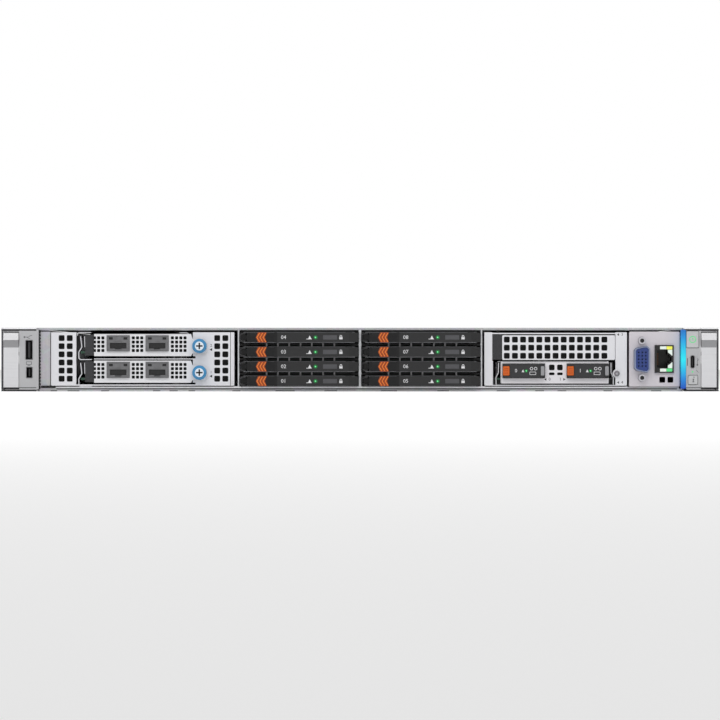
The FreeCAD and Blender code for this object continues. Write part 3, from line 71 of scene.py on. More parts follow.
class Nodes:
    """A node tree and the one method that adds to it."""

    def node(self, kind, settings=None, inputs=None, output=0):
        made = self.tree.nodes.new(kind)
        for name, value in (settings or {}).items():
            if name == "stops":
                ramp = made.color_ramp
                for at, (place, tint) in enumerate(value):
                    stop = ramp.elements[at] if at < 2 else ramp.elements.new(place)
                    stop.position = place
                    stop.color = (*tint, 1.0)
            else:
                setattr(made, name, value)
        for key, value in (inputs or {}).items():
            if isinstance(value, Value):
                self.tree.links.new(value.socket, made.inputs[key])
            else:
                made.inputs[key].default_value = value
        return Value(self, made.outputs[output])


class Finish(Nodes):
    """A material on one Principled shader."""

    def __init__(self, name, colour, roughness, metallic=0.0, **constants):
        self.material = bpy.data.materials.new(name)
        self.material.use_nodes = True
        self.tree = self.material.node_tree
        self.shader = self.tree.nodes["Principled BSDF"]
        self.shader.inputs["Base Color"].default_value = (*colour, 1.0)
        self.shader.inputs["Roughness"].default_value = roughness
        self.shader.inputs["Metallic"].default_value = metallic
        for socket, value in constants.items():
            self.shader.inputs[socket.replace("_", " ")].default_value = value

    def feed(self, socket, value):
        self.tree.links.new(value.socket, self.shader.inputs[socket])

    def place(self, scale=(1, 1, 1)):
        """Object coordinates, stretched."""
        coordinates = self.node("ShaderNodeTexCoord", output="Object")
        return self.node("ShaderNodeMapping", inputs={"Vector": coordinates, "Scale": scale})

    def along(self, axis):
        """One Object coordinate, in metres."""
        return self.node("ShaderNodeSeparateXYZ", inputs={0: self.place()}, output="XYZ".index(axis))

    def noise(self, scale, stretch=(1, 1, 1), detail=3.0):
        return self.node("ShaderNodeTexNoise", inputs={"Vector": self.place(stretch), "Scale": scale,
                                                       "Detail": detail})

    def tint(self, factor, dark, light):
        """From one colour to the other; either may already be a Value."""
        pair = [shade if isinstance(shade, Value) else (*shade, 1.0) for shade in (dark, light)]
        return self.node("ShaderNodeMix", {"data_type": "RGBA"}, {"Factor": factor, 6: pair[0], 7: pair[1]},
                         output=2)

    def bump(self, height, strength, distance):
        self.feed("Normal", self.node("ShaderNodeBump", inputs={"Height": height, "Strength": strength,
                                                                "Distance": distance}))

    def surface(self, colour, roughness, relief, strength, distance, metallic=None):
        """Feed colour, roughness and relief together, and metalness where it changes."""
        self.feed("Base Color", colour)
        self.feed("Roughness", roughness)
        self.bump(relief, strength, distance)
        if metallic:
            self.feed("Metallic", metallic)


def scaled(colour, factor):
    return tuple(min(channel * factor, 1.0) for channel in colour)


def srgb(red, green, blue):
    """Scene colour of a screen colour given from 0 to 255."""
    return tuple(((c / 255 + 0.055) / 1.055) ** 2.4 if c > 10 else c / 255 / 12.92
                 for c in (red, green, blue))


def rolled_steel(name, colour, roughness=0.34, along=(1, 0.04, 1)):
    """Galvanised sheet: rolling streaks, a faint zinc spangle and hair scratches."""
    steel = Finish(name, colour, roughness, 0.55)
    streaks = steel.noise(900, along, 4)
    cloud = steel.noise(14, detail=2)
    spangle = steel.node("ShaderNodeTexVoronoi", None, {"Vector": steel.place(), "Scale": 220}, "Color")
    rolled = steel.tint(streaks, scaled(colour, 0.9), scaled(colour, 1.08))
    steel.feed("Base Color", steel.node("ShaderNodeMix", {"data_type": "RGBA", "blend_type": "SOFT_LIGHT"},
                                        {"Factor": 0.10, 6: rolled, 7: spangle}, 2))
    steel.feed("Roughness", roughness - 0.07 + streaks * 0.10 + cloud * 0.08)
    steel.bump(streaks, 0.12, 0.0002)
    return steel.material


def rectangle(left, low, right, high):
    return [(left, low), (right, low), (right, high), (left, high)]


def disc(across, up, radius, points=24):
    return [(across + radius * math.cos(math.tau * at / points),
             up + radius * math.sin(math.tau * at / points)) for at in range(points)]


def rounded(left, low, right, high, radius, points=5):
    outline = []
    for at, (across, up) in enumerate(((right - radius, low + radius), (right - radius, high - radius),
                                       (left + radius, high - radius), (left + radius, low + radius))):
        for step in range(points):
            angle = math.pi / 2 * (at - 1 + step / (points - 1))
            outline.append((across + radius * math.cos(angle), up + radius * math.sin(angle)))
    return outline


def stroke(path, width):
    """Outline of a band of even width along a bent line."""
    sides = ([], [])
    for at, point in enumerate(path):
        here = Vector(point)
        before = (here - Vector(path[at - 1])).normalized() if at else None
        after = (Vector(path[at + 1]) - here).normalized() if at + 1 < len(path) else None
        run = ((before or after) + (after or before)).normalized()
        reach = width / 2 / max(run.dot(after or before), 0.3)
        for side, sign in zip(sides, (1, -1)):
            side.append((here.x - run.y * reach * sign, here.y + run.x * reach * sign))
    return sides[0] + sides[1][::-1]


class Form:
    """A new piece, built up from prisms; every place in it is in millimetres."""

    def __init__(self, name, origin=(0, 0, 0)):
        self.name = name
        self.origin = origin
        self.work = bmesh.new()

    def ring(self, outline, depth, axis):
        """Corners of an outline that is drawn square to an axis, at one place along it."""
        turned = {"x": lambda a, b: (depth, a, b), "y": lambda a, b: (a, depth, b),
                  "z": lambda a, b: (a, b, depth)}
        corners = [[away + start for away, start in zip(turned[axis](a, b), self.origin)] for a, b in outline]
        return [self.work.verts.new(Vector(corner) * MM) for corner in corners]

    def walled(self, rings, faces):
        """Walls from each ring of corners to the next; they and the other faces are turned outwards."""
        for ring, following in zip(rings, rings[1:]):
            for at in range(len(ring)):
                faces.append(self.work.faces.new((ring[at - 1], ring[at], following[at], following[at - 1])))
        bmesh.ops.recalc_face_normals(self.work, faces=faces)
        return self

    def prism(self, outline, start, end, axis="y"):
        """An outline, drawn square to the axis, from one place on that axis to another."""
        rings = [self.ring(outline, depth, axis) for depth in (start, end)]
        return self.walled(rings, [self.work.faces.new(rings[0][::-1]), self.work.faces.new(rings[1])])

    def frame(self, outer, inner, start, end, axis="y"):
        """A ring between two outlines that have the same number of points."""
        rings = [self.ring(outline, depth, axis)
                 for outline, depth in ((outer, start), (inner, start), (inner, end), (outer, end))]
        return self.walled(rings + rings[:1], [])

    def block(self, low, high):
        return self.prism(rectangle(low[0], low[2], high[0], high[2]), low[1], high[1])

    def bar(self, outline, sign, near, far):
        """A prism that lies across, between two distances out to one side."""
        return self.prism(outline, *sorted((sign * near, sign * far)), "x")

    def fold(self, path, width, start, end):
        """The edge of a folded sheet that runs back."""
        return self.prism(stroke(path, width), start, end)

    def printed(self, face, *outlines, hole=None, depth=0.05):
        """Films of ink on a face, or a ring of it round a hole."""
        for outline in outlines:
            reach = (face - 0.03, face + depth)
            self.frame(outline, hole, *reach) if hole else self.prism(outline, *reach)
        return self

    def mesh(self):
        mesh = bpy.data.meshes.new(self.name)
        self.work.to_mesh(mesh)
        return mesh

    def place(self, slot, material, edge=0.0, replaces=None, body="chassis"):
        """Put the finished piece in the scene, on its body."""
        return settled(self.name, self.mesh(), body, material, edge, replaces)


def settled(name, mesh, body, material, edge=0.0, replaces=None):
    """A mesh as a piece of the scene: its material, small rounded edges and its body."""
    mesh.materials.clear()
    mesh.materials.append(material)
    for face in mesh.polygons:
        face.material_index = 0
        face.use_smooth = True
    mesh.set_sharp_from_angle(angle=math.radians(35))
    piece = bpy.data.objects.new(name, mesh)
    bpy.context.scene.collection.objects.link(piece)
    if edge:
        bevel = piece.modifiers.new("edges", "BEVEL")
        bevel.width = edge * MM
        bevel.segments = 2
        bevel.limit_method = "ANGLE"
        bevel.angle_limit = math.radians(40)
        bevel.harden_normals = True
    if replaces:
        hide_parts(replaces)
    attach(piece, body)
    return piece


def evaluated(piece):
    """The plain mesh that an object's modifiers give, and the object gone."""
    mesh = bpy.data.meshes.new_from_object(piece.evaluated_get(bpy.context.evaluated_depsgraph_get()))
    bpy.data.objects.remove(piece)
    return mesh


def dressed(node, material, edge=0.15, cut=(), body="chassis"):
    """A CAD node's mesh again, welded, with some boxes cut away and the real piece's small rounded edges."""
    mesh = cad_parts[node].data.copy()
    work = bmesh.new()
    work.from_mesh(mesh)
    bmesh.ops.remove_doubles(work, verts=work.verts, dist=2e-6)
    bmesh.ops.dissolve_limit(work, angle_limit=math.radians(0.5), verts=work.verts, edges=work.edges)
    work.to_mesh(mesh)
    work.free()
    for cutter in cut:
        whole = bpy.data.objects.new("whole", mesh)
        shape = Form("tool").block(*cutter).mesh() if len(cutter) == 2 else cutter[0]
        tool = bpy.data.objects.new("tool", shape)
        for piece in (whole, tool):
            bpy.context.scene.collection.objects.link(piece)
        carving = whole.modifiers.new("cut", "BOOLEAN")
        carving.object = tool
        carving.solver = "EXACT"
        mesh = evaluated(whole)
        bpy.data.objects.remove(tool)
    return settled(node + "_finished", mesh, body, material, edge, node)


class Field(Nodes):
    """A Geometry Nodes tree that sets one unit at each point of a grid; its sizes are its named inputs."""

    def __init__(self):
        self.tree = bpy.data.node_groups.new("field", "GeometryNodeTree")
        self.tree.interface.new_socket("Geometry", in_out="OUTPUT", socket_type="NodeSocketGeometry")
        kinds = {"Columns": "Int", "Rows": "Int", "Width": "Float", "Height": "Float", "Middle": "Vector",
                 "Lie": "Vector", "Unit": "Object", "Finish": "Material"}
        self.names = {}
        for label, kind in kinds.items():
            socket = self.tree.interface.new_socket(label, in_out="INPUT", socket_type="NodeSocket" + kind)
            self.names[label] = socket.identifier
        entry = self.tree.nodes.new("NodeGroupInput")
        given = {label: Value(self, entry.outputs[label]) for label in kinds}
        grid = self.node("GeometryNodeMeshGrid", inputs={
            "Size X": given["Width"], "Size Y": given["Height"], "Vertices X": given["Columns"],
            "Vertices Y": given["Rows"]})
        laid = self.node("GeometryNodeTransform", inputs={
            "Geometry": grid, "Translation": given["Middle"], "Rotation": given["Lie"]})
        unit = self.node("GeometryNodeObjectInfo", inputs={"Object": given["Unit"]}, output="Geometry")
        spread = self.node("GeometryNodeInstanceOnPoints", inputs={"Points": laid, "Instance": unit})
        whole = self.node("GeometryNodeRealizeInstances", inputs={0: spread})
        painted = self.node("GeometryNodeSetMaterial", inputs={0: whole, "Material": given["Finish"]})
        self.tree.links.new(painted.socket, self.tree.nodes.new("NodeGroupOutput").inputs[0])

    def mesh(self, unit, material, first, columns, across, rows=1, up=0.0, lie="front"):
        """First is the first unit's place; the rows run up a front, up a side, or back along a top."""
        turns = {"front": (math.pi / 2, 0, 0), "side": (math.pi / 2, 0, math.pi / 2), "top": (0, 0, 0)}
        width = across * (columns - 1)
        height = up * (rows - 1)
        half = {"front": (width, 0, height), "side": (0, width, height), "top": (width, height, 0)}[lie]
        middle = (Vector(first) + Vector(half) / 2) * MM
        source = bpy.data.objects.new("unit", unit.mesh())
        holder = bpy.data.objects.new("field", bpy.data.meshes.new("field"))
        for piece in (source, holder):
            bpy.context.scene.collection.objects.link(piece)
        modifier = holder.modifiers.new("field", "NODES")
        modifier.node_group = self.tree
        sizes = {"Columns": columns, "Rows": rows, "Width": width * MM, "Height": height * MM,
                 "Middle": tuple(middle), "Lie": turns[lie], "Unit": source, "Finish": material}
        for label, value in sizes.items():
            modifier[self.names[label]] = value
        mesh = evaluated(holder)
        bpy.data.objects.remove(source)
        return mesh

    def piece(self, name, unit, slot, material, *grid, edge=0.0, body="chassis", **more):
        """The whole field as one piece of the scene."""
        return settled(name, self.mesh(unit, material, *grid, **more), body, material, edge)


field = Field()


def place_of(node):
    """Lowest and highest corner of a CAD node, in millimetres."""
    return [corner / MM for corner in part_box(node)]


tray_front = place_of("chassis_tray")[0].y
half = -place_of("front_top_plate")[0].x
plate_front = place_of("left_riser_frame")[0].y
tray_steel = rolled_steel("tray_steel", srgb(196, 197, 200))
dressed("chassis_tray", tray_steel, 0.15)

for side, sign in (("left", -1), ("right", 1)):
    rivet = Form("rivet").bar(disc(0, 0, 2.1, 16), sign, 0.0, 0.35).bar(disc(0, 0, 1.2, 16), sign, 0.35, 0.6)
    field.piece(side + "_wall_rivets", rivet, "zinc_steel", tray_steel, (sign * half, 74, 6.0), 9, 78.0, 2,
                30.0, "side")

# A lighter copy of the rolled steel: painted highlight on the rolled hem and the hood edges.
highlight_steel = rolled_steel("highlight_steel", srgb(238, 238, 241), 0.36, (0.04, 1, 1))
hem = Form("front_hem")
hem.prism(rounded(tray_front - 0.7, 2.2, tray_front + 0.05, 3.35, 0.35), -204.5, 180.0, "x")
hem.place("zinc_steel", highlight_steel)

# Near-black films for painted shade: the dark of the lip slots, the line under the hem, the recess at the
# left filler's foot and the gap beside the left ear.
painted_shade_black = Finish("painted_shade_black", srgb(20, 20, 21), 0.75)
painted_shade_black.bump(painted_shade_black.noise(1800), 0.3, 0.00005)
slots = Form("lip_slots")
for left, right in ((-208.4, -203.9), (-197.0, -188.9), (-174.4, -168.9), (-139.5, -134.4), (-128.3, -122.7),
                    (-115.5, -111.0), (-86.0, -80.5), (-57.0, -44.0), (-24.0, -15.5), (14.0, 25.0),
                    (52.0, 60.0), (92.0, 101.0), (118.0, 124.0), (133.0, 139.0), (164.0, 170.0),
                    (196.0, 203.0)):
    slots.prism(rounded(left, 0.03, right, 0.6, 0.25), tray_front - 0.04, tray_front + 0.1)
slots.place("zinc_steel", painted_shade_black.material)
shade_lines = Form("hem_seam").prism(rectangle(-204.5, 1.3, 213.5, 2.0), tray_front - 0.06, tray_front + 0.1)
shade_lines.prism(rectangle(-214.6, 2.2, -205.0, 3.8), plate_front - 0.06, plate_front + 0.4)
shade_lines.prism(rectangle(-216.4, 0.0, -216.0, 41.0), tray_front - 0.5, tray_front + 0.4)
shade_lines.place("zinc_steel", painted_shade_black.material)

# Wavy black teeth in the gaps beside the ears: painted shade of those gaps.
for side, across, root, bend, tip in (("left", -215.5, -0.55, 0.1, 0.62), ("right", 215.1, 0.5, 0.0, -0.4)):
    outline = [(root, -1.05), (bend, -1.05), (tip, 0), (bend, 1.05), (root, 1.05)]
    finger = Form("finger").prism(outline, -0.6, 0.6)
    field.piece(side + "_seal_fingers", finger, "zinc_steel", painted_shade_black.material,
                (across, tray_front - 0.7, 2.6), 1, 1.0, 18, 2.2)

# ---- lid: fixed front part, cover and its latch ----
# The lid is the same sheet as the tray, in two parts; the rear part slides back and lifts off.
# Shallow pressed grooves stiffen it, a bare label plate lies on it, and a blue lever locks it.

lid_steel = rolled_steel("lid_steel", srgb(190, 191, 194), 0.36)
dressed("front_top_plate", lid_steel, 0.15)
lid_low, lid_high = place_of("front_top_plate")
front_edge = Form("lid_front_edge")
front_edge.prism([(lid_low.y - 0.3, lid_high.z - 1.75), (lid_low.y - 0.6, lid_high.z - 1.4),
                  (lid_low.y - 0.6, lid_high.z - 0.35), (lid_low.y - 0.3, lid_high.z - 0.02),
                  (lid_low.y + 0.5, lid_high.z - 0.02), (lid_low.y + 0.5, lid_high.z - 1.75)], -half, half,
                 "x")
front_edge.place("cover_steel", lid_steel)
# Near-black for painted shade: sheets and films set in gaps and behind vents where there is only shadow.
painted_gap_shade = Finish("gap_shade_black", srgb(14, 14, 15), 0.8)
painted_gap_shade.bump(painted_gap_shade.noise(900), 0.2, 0.00005)
top = place_of("top_cover")[1].z
grooves = [((side * 118 - 72, back, top - 0.35), (side * 118 + 72, back + 3.0, top + 1))
           for side in (-1, 1) for back in (190, 205, 220, 640, 655, 670)]
label_low = (-186.0, 330.0)
label_high = (-66.0, 470.0)
grooves.append(((label_low[0], label_low[1], top - 0.2), (label_high[0], label_high[1], top + 1)))
cover = dressed("top_cover", lid_steel, 0.0, grooves, body="cover").data
cover.polygons.foreach_set("use_smooth", [False] * len(cover.polygons))
label_paper = Finish("label_film", srgb(232, 233, 235), 0.35, Coat_Weight=0.4)
cloud = label_paper.noise(60)
label_paper.surface(label_paper.tint(cloud, srgb(226, 227, 229), srgb(236, 237, 239)),
                    0.3 + cloud * 0.15, label_paper.noise(900), 0.1, 0.00003)
plate = Form("cover_label")
plate.prism(rounded(label_low[0] + 0.4, label_low[1] + 0.4, label_high[0] - 0.4, label_high[1] - 0.4, 2.5),
            top - 0.19, top - 0.08, "z")
plate.frame(rounded(-184.0, 332.0, -68.0, 468.0, 2.0), rounded(-183.2, 332.8, -68.8, 467.2, 1.6),
            top - 0.1, top - 0.05, "z")
plate.place("cover_steel", label_paper.material, body="cover")


def moulded(name, colour, roughness=0.48):
    """Moulded plastic with a fine spark-eroded grain."""
    plastic = Finish(name, colour, roughness)
    fine = plastic.noise(2600, detail=2)
    cloud = plastic.noise(30, detail=2)
    plastic.surface(plastic.tint(cloud, scaled(colour, 0.92), scaled(colour, 1.08)),
                    roughness - 0.06 + fine * 0.12, fine, 0.35, 0.00006)
    return plastic.material


touch_blue = moulded("touch_blue", srgb(64, 134, 182), 0.42)
dressed("cover_latch", touch_blue, 0.5, body="cover_latch")
latch_low, latch_high = place_of("cover_latch")
rib = Form("rib").prism([(-0.45, 0), (0.45, 0), (0.2, 0.4), (-0.2, 0.4)], -6.0, 6.0, "x")
field.piece("cover_latch_ribs", rib, "blue_plastic", touch_blue, (0, latch_low.y + 1.6, latch_high.z - 0.45),
            1, 1.0, 4, 1.5, "top", body="cover_latch")

# ---- ears ----
# Each ear is a painted casting with a flange for the rack, a control housing and an outer cheek.
# The slam latch in it is a curved satin grip, and the cap of the hood over it swings with it.
# The right ear also carries the light bar and two keys.


def painted(name, colour, roughness=0.42, face=None):
    """Powder coat with a fine orange peel; behind a given face, hole walls and sheet edges get painted
    near-black shade.
    """
    paint = Finish(name, colour, roughness, Coat_Weight=0.12, Coat_Roughness=0.35)
    peel = paint.noise(1500, detail=1)
    cloud = paint.noise(22, detail=2)
    coat_with_edge_shade = paint.tint(cloud, scaled(colour, 0.96), scaled(colour, 1.03))
    if face is not None:
        # Painted shade: from 0.22 to 1.5 mm behind the face the coat turns near-black, so vent walls and
        # edges read as shaded.
        depth = paint.along("Y")
        coat_with_edge_shade = paint.tint((depth > (face + 0.22) * MM) * (depth < (face + 1.5) * MM), coat_with_edge_shade, srgb(26, 26, 27))
    paint.surface(coat_with_edge_shade, roughness - 0.05 + peel * 0.1, peel, 0.25, 0.00005)
    return paint.material


ear_paint = painted("ear_paint", srgb(180, 180, 182))
# Dark grey for painted shade: under the hood, under the ear and along its outer side.
painted_shade_grey = painted("painted_shade_grey", srgb(46, 46, 48), 0.6)
housing_face = place_of("left_ear")[0].y
satin = Finish("latch_satin", srgb(226, 226, 228), 0.34, 0.25)
facet = satin.along("Z")
streaks = satin.noise(700, (0.05, 1, 1))
brushed = satin.tint(streaks, srgb(208, 208, 211), srgb(222, 222, 224))
# Painted shade by height: the grip darkens to 148 from 29.5 to 34.5 mm, where it turns down, and is a duller
# 190 above.
painted_shade_band = (facet > 0.0295) * (facet < 0.0345)
lower = satin.tint(painted_shade_band, brushed, srgb(148, 148, 150))
satin.surface(satin.tint(facet > 0.0345, lower, srgb(190, 190, 192)),
              0.34 + streaks * 0.12, streaks, 0.08, 0.0001)
for side, sign in (("left", -1), ("right", 1)):
    dressed(side + "_ear", ear_paint, 0.2)
    latch = side + "_ear_latch"
    low, high = place_of(latch)
    pivot = high.y - 12.5
    up = high.z - 3.7
    grip = Form(latch + "_grip")
    grip.bar([(pivot + 2.6, up + 2.6), (-17.4, up + 3.4), (-19.6, up + 2.8), (-21.9, up - 2.0),
              (-20.0, up - 7.0), (-20.0, low.z), (-18.3, low.z), (-18.3, up - 7.4), (pivot - 4.6, up - 4.3),
              (pivot + 4.0, up - 4.3), (pivot + 4.0, up - 2.0), (pivot + 4.4, up + 1.0)], sign, 229.3, 239.5)
    grip.bar([(pivot + 4.2, up - 2.0), (high.y, up - 1.6), (high.y, up + 0.9), (pivot + 4.2, up + 1.9)],
             sign, 230.9, 237.9)
    grip.bar(disc(pivot, up, 1.5), sign, 227.2, 240.9)
    grip.place("latch_metal", satin.material, 0.12, latch, body=latch)
    hood = Form(side + "_ear_hood")
    for span in ((217.4, 228.8), (239.9, 240.95)):
        hood.bar([(-0.2, 42.78), (-19.5, 42.78), (-19.9, 42.4), (-19.9, 41.75), (-0.2, 41.75)], sign, *span)
    hood.place("ear_plastic", highlight_steel, 0.15)
    cap = Form(latch + "_cap")
    cap.bar([(-10.0, 42.78), (-19.5, 42.78), (-19.9, 42.4), (-19.9, 41.75), (-10.0, 41.75)],
            sign, 229.0, 239.7)
    cap.place("latch_metal", highlight_steel, 0.15, body=latch)
    # Painted shade: dark strips under the hood and at the ear's foot.
    shade_band = Form(side + "_ear_band")
    ends = sorted((sign * 217.4, sign * 240.95))
    for low_edge, high_edge, proud in ((40.75, 41.8, 0.06), (2.25, 2.7, 0.06), (0.15, 0.7, 0.08)):
        shade_band.prism(rectangle(ends[0], low_edge, ends[1], high_edge), housing_face - proud, housing_face + 0.3)
    shade_band.place("ear_plastic", painted_shade_grey)
    # Painted shadow under the ear.
    foot = Form(side + "_ear_foot")
    foot.bar([(-0.2, 1.1), (-18.2, 1.1), (-18.6, 0.8), (-18.6, 0.45), (-0.2, 0.45)], sign, 217.4, 240.95)
    foot.place("ear_plastic", painted_shade_grey, 0.1)
    # Painted shade along the ear's outer side.
    edge = Form(side + "_ear_edge")
    edge.bar([(-17.7, 1.2), (-17.7, 41.7), (-18.3, 41.7), (-18.6, 41.4), (-18.6, 1.5), (-18.3, 1.2)],
             sign, 240.15, 240.98)
    edge.place("ear_plastic", painted_shade_grey)
    # Painted shade under the hood cap, over the latch; it swings with the latch.
    latch_shade = Form(side + "_latch_lining")
    latch_shade.bar([(-10.0, 41.7), (-17.2, 41.7), (-17.2, 41.0), (-16.6, 40.7), (-10.0, 40.7)],
               sign, 229.4, 239.4)
    latch_shade.place("latch_metal", painted_shade_grey, body=latch)

key_plastic = moulded("key_plastic", srgb(190, 191, 192), 0.4)
for key in ("power_button", "id_button"):
    dressed(key, key_plastic, 0.25, body=key)

bar_low, bar_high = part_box("light_bar")
light = Finish("light_guide", srgb(40, 150, 220), 0.3)
rise = light.node("ShaderNodeMapRange", inputs={0: light.along("Z"), 1: bar_low.z, 2: bar_high.z})
glow = light.node("ShaderNodeValToRGB", {"stops": [
    (0.0, srgb(14, 66, 170)), (1.0, srgb(20, 100, 180)), (0.18, srgb(20, 130, 205)),
    (0.5, srgb(30, 214, 228)), (0.85, srgb(22, 140, 205))]}, {0: rise})
light.feed("Base Color", glow)
light.feed("Emission Color", glow)
light.feed("Roughness", 0.26 + light.noise(400) * 0.1)
light.bump(light.noise(400, (1, 1, 0.1)), 0.1, 0.0001)
light.shader.inputs["Emission Strength"].default_value = 0.25
dressed("light_bar", light.material, 0.5)

nickel = Finish("port_nickel", srgb(120, 120, 122), 0.35, 0.6)
# Painted shade: behind 19.5 mm the port walls turn near-black and lose most of their metal shine.
inside = nickel.along("Y") > -0.0195
nickel.surface(nickel.tint(inside, srgb(128, 128, 130), srgb(38, 38, 40)),
               0.3 + nickel.noise(160) * 0.2, nickel.noise(900), 0.15, 0.00005, 0.8 - inside * 0.7)
dressed("front_ports", nickel.material, 0.05)


def film(name, colour, roughness=0.5, glow=0.0, gloss=0.0):
    """Printed ink, or with a glow a lit lamp, a little cloudy and uneven."""
    made = Finish(name, colour, roughness, Emission_Strength=glow, Coat_Weight=gloss)
    cloud = made.noise(900)
    tone = made.tint(cloud, scaled(colour, 0.86), scaled(colour, 1.16))
    made.feed("Base Color", tone)
    if glow:
        made.feed("Emission Color", tone)
    made.feed("Roughness", roughness - 0.05 + cloud * 0.1)
    made.bump(cloud, 0.2, 0.00003)
    return made.material


ink = film("marking_ink", srgb(96, 97, 100), 0.6)
marks = Form("left_ear_marks")
marks.printed(housing_face, rounded(-224.3, 17.9, -220.5, 20.1, 0.3),
              hole=rounded(-223.9, 18.3, -220.9, 19.7, 0.2))
marks.printed(housing_face, rectangle(-223.3, 17.2, -221.5, 17.6), disc(-225.4, 36.5, 0.6),
              stroke([(-225.2, 36.5), (-222.8, 36.5), (-221.4, 37.5), (-220.2, 37.5)], 0.35),
              stroke([(-223.9, 36.5), (-222.6, 35.6), (-221.6, 35.6)], 0.3))
marks.place("ear_plastic", ink)
marks = Form("right_ear_marks")
marks.printed(housing_face, stroke([(226.6, 22.4), (226.6, 18.2)], 0.3), disc(226.6, 17.8, 0.6),
              stroke([(226.6, 20.4), (227.4, 21.2), (227.4, 22.0)], 0.28),
              stroke([(225.9, 14.3), (227.0, 13.0), (227.6, 12.8)], 0.3),
              rounded(219.75, 17.2, 220.35, 22.4, 0.25))
marks.place("ear_plastic", ink)

lit_green = film("lit_green", srgb(84, 200, 120), 0.3, 0.35)
key_face = place_of("power_button")[0].y
ring = Form("power_ring")
ring.frame(disc(223.4, 34.9, 2.35, 32), disc(223.4, 34.9, 1.85, 32), key_face - 0.04, key_face + 0.05)
ring.prism(rectangle(223.1, 34.7, 223.7, 35.9), key_face - 0.04, key_face + 0.05)
ring.place("button_plastic", lit_green, body="power_button")
lamp = Form("health_lamp")
lamp.prism(disc(223.4, 13.2, 0.55, 16), housing_face - 0.05, housing_face + 0.05)
lamp.prism(disc(223.4, 13.2, 0.35, 16), housing_face - 0.09, housing_face - 0.04)
lamp.place("ear_plastic", lit_green)
letter = Form("id_mark")
letter.printed(key_face, disc(224.3, 9.6, 0.42, 12), [
    (223.5, 6.0), (224.5, 6.3), (224.3, 6.9), (224.0, 6.9), (224.5, 8.7), (223.2, 8.3), (223.4, 7.9),
    (223.7, 7.9), (223.2, 6.3)])
letter.place("button_plastic", ink, body="id_button")

# ---- left riser: frame, card brackets, port cages, boards and thumbscrews ----
# A painted sheet frame holds two cards one above the other. Each card has a vented bracket,
# two metal port cages and a board, and a blue captive thumbscrew holds it.

frame_low, frame_high = place_of("left_riser_frame")
bracket_low = place_of("card_brackets")[0]
plate_face = frame_low.y
# The riser plates and card brackets carry painted shade on their hole walls and edges.
plate_paint_and_hole_shade = painted("plate_paint_and_hole_shade", srgb(224, 224, 228), face=plate_face)
bracket_paint_and_hole_shade = painted("bracket_paint_and_hole_shade", srgb(226, 226, 229), face=bracket_low.y)
window_left = -190.9
window_right = -112.5
VENT = 3.95
VENT_PITCH = 5.47


def vent_cutter(first, columns, rows, size=VENT, corner=0.9, across=VENT_PITCH, up=VENT_PITCH):
    """Square punches with rounded corners, all in one mesh."""
    punch = Form("punch").prism(rounded(-size / 2, -size / 2, size / 2, size / 2, corner, 4), -1.5, 3.0)
    return (field.mesh(punch, painted_gap_shade.material, first, columns, across, rows, up),)


def opening(left, low, right, high, face=plate_face, depth=1.5):
    """Box that cuts a sheet through behind its face."""
    return (left, face - 1, low), (right, face + depth, high)


dressed("left_riser_frame", plate_paint_and_hole_shade, 0.05, [
    opening(frame_low.x - 1, 39.75, frame_high.x + 1, 42), opening(window_left, 38.6, window_right, 39.8),
    opening(window_left - 0.1, 22.15, -110.7, 23.75), opening(window_left - 0.1, 4.65, -110.7, 5.9),
    opening(window_left - 0.1, 19.0, bracket_low.x - 0.1, 22.2),
    opening(frame_high.x - 2.75, 3.9, frame_high.x - 2.4, 39.8, depth=0.5),
    vent_cutter((frame_low.x + 7.1, plate_face, 8.5), 2, 6),
    vent_cutter((frame_high.x - 11.5, plate_face, 8.5), 2, 6)])
SMALL_PITCH = 2.83
dressed("card_brackets", bracket_paint_and_hole_shade, 0.04, [
    vent_cutter((first, bracket_low.y, up), columns, 4, 2.05, 0.45, SMALL_PITCH, SMALL_PITCH)
    for up in (9.6, 27.5)
    for first, columns in ((bracket_low.x + 3.1 - SMALL_PITCH, 3), (-152.5, 3), (-126.2, 4))] + [
    opening(-113.2, up, -108.8, up + 4.2, bracket_low.y) for up in (19.4, 37.3)])

cage_nickel = Finish("cage_nickel", srgb(112, 112, 114), 0.42, 0.45)
cage_cloud = cage_nickel.noise(300, (1, 0.2, 1), 3)
cage_nickel.surface(cage_nickel.tint(cage_cloud, srgb(98, 98, 100), srgb(130, 130, 132)),
                    0.3 + cage_cloud * 0.25, cage_cloud, 0.1, 0.0001)
dressed("card_port_cages", cage_nickel.material, 0.1)
cages_low = place_of("card_port_cages")[0]
# Black sheets behind the riser and bracket vents: painted shade standing for the dark space behind them.
shade = Form("vent_shades")
for left, right in ((frame_low.x + 4.0, frame_low.x + 15.5), (frame_high.x - 15.0, frame_high.x - 3.2)):
    shade.prism(rectangle(left, 5.5, right, 38.8), plate_face + 2.4, plate_face + 2.8)
for low in (6.0, 23.9):
    for left, right in ((-178.7, -171.0), (-154.8, -144.3), (-128.6, -113.9)):
        shade.prism(rectangle(left, low + 2.2, right, low + 14.4), plate_face + 1.0, plate_face + 1.4)
shade.place("carrier_plastic", painted_gap_shade.material)
port_black = moulded("port_black", srgb(16, 16, 17), 0.4)
PORT_PITCH = 26.2
CARD_PITCH = 17.9
port_middle = cages_low.x + 15.3 / 2
insert = Form("insert")
insert.block((-5.5, 0.6, 1.75), (5.5, 4.0, 5.4))
insert.block((-6.15, 0.3, 7.75), (-3.65, 1.3, 9.25))
insert.block((3.65, 0.3, 7.75), (6.15, 1.3, 9.25))
field.piece("port_inserts", insert, "jack_plastic", port_black, (port_middle, cages_low.y, cages_low.z), 2,
            PORT_PITCH, 2, CARD_PITCH)
arch = Form("arch").fold([(-2.4, 6.3), (-1.2, 6.9), (1.2, 6.9), (2.4, 6.3)], 0.5, -0.35, 0.1)
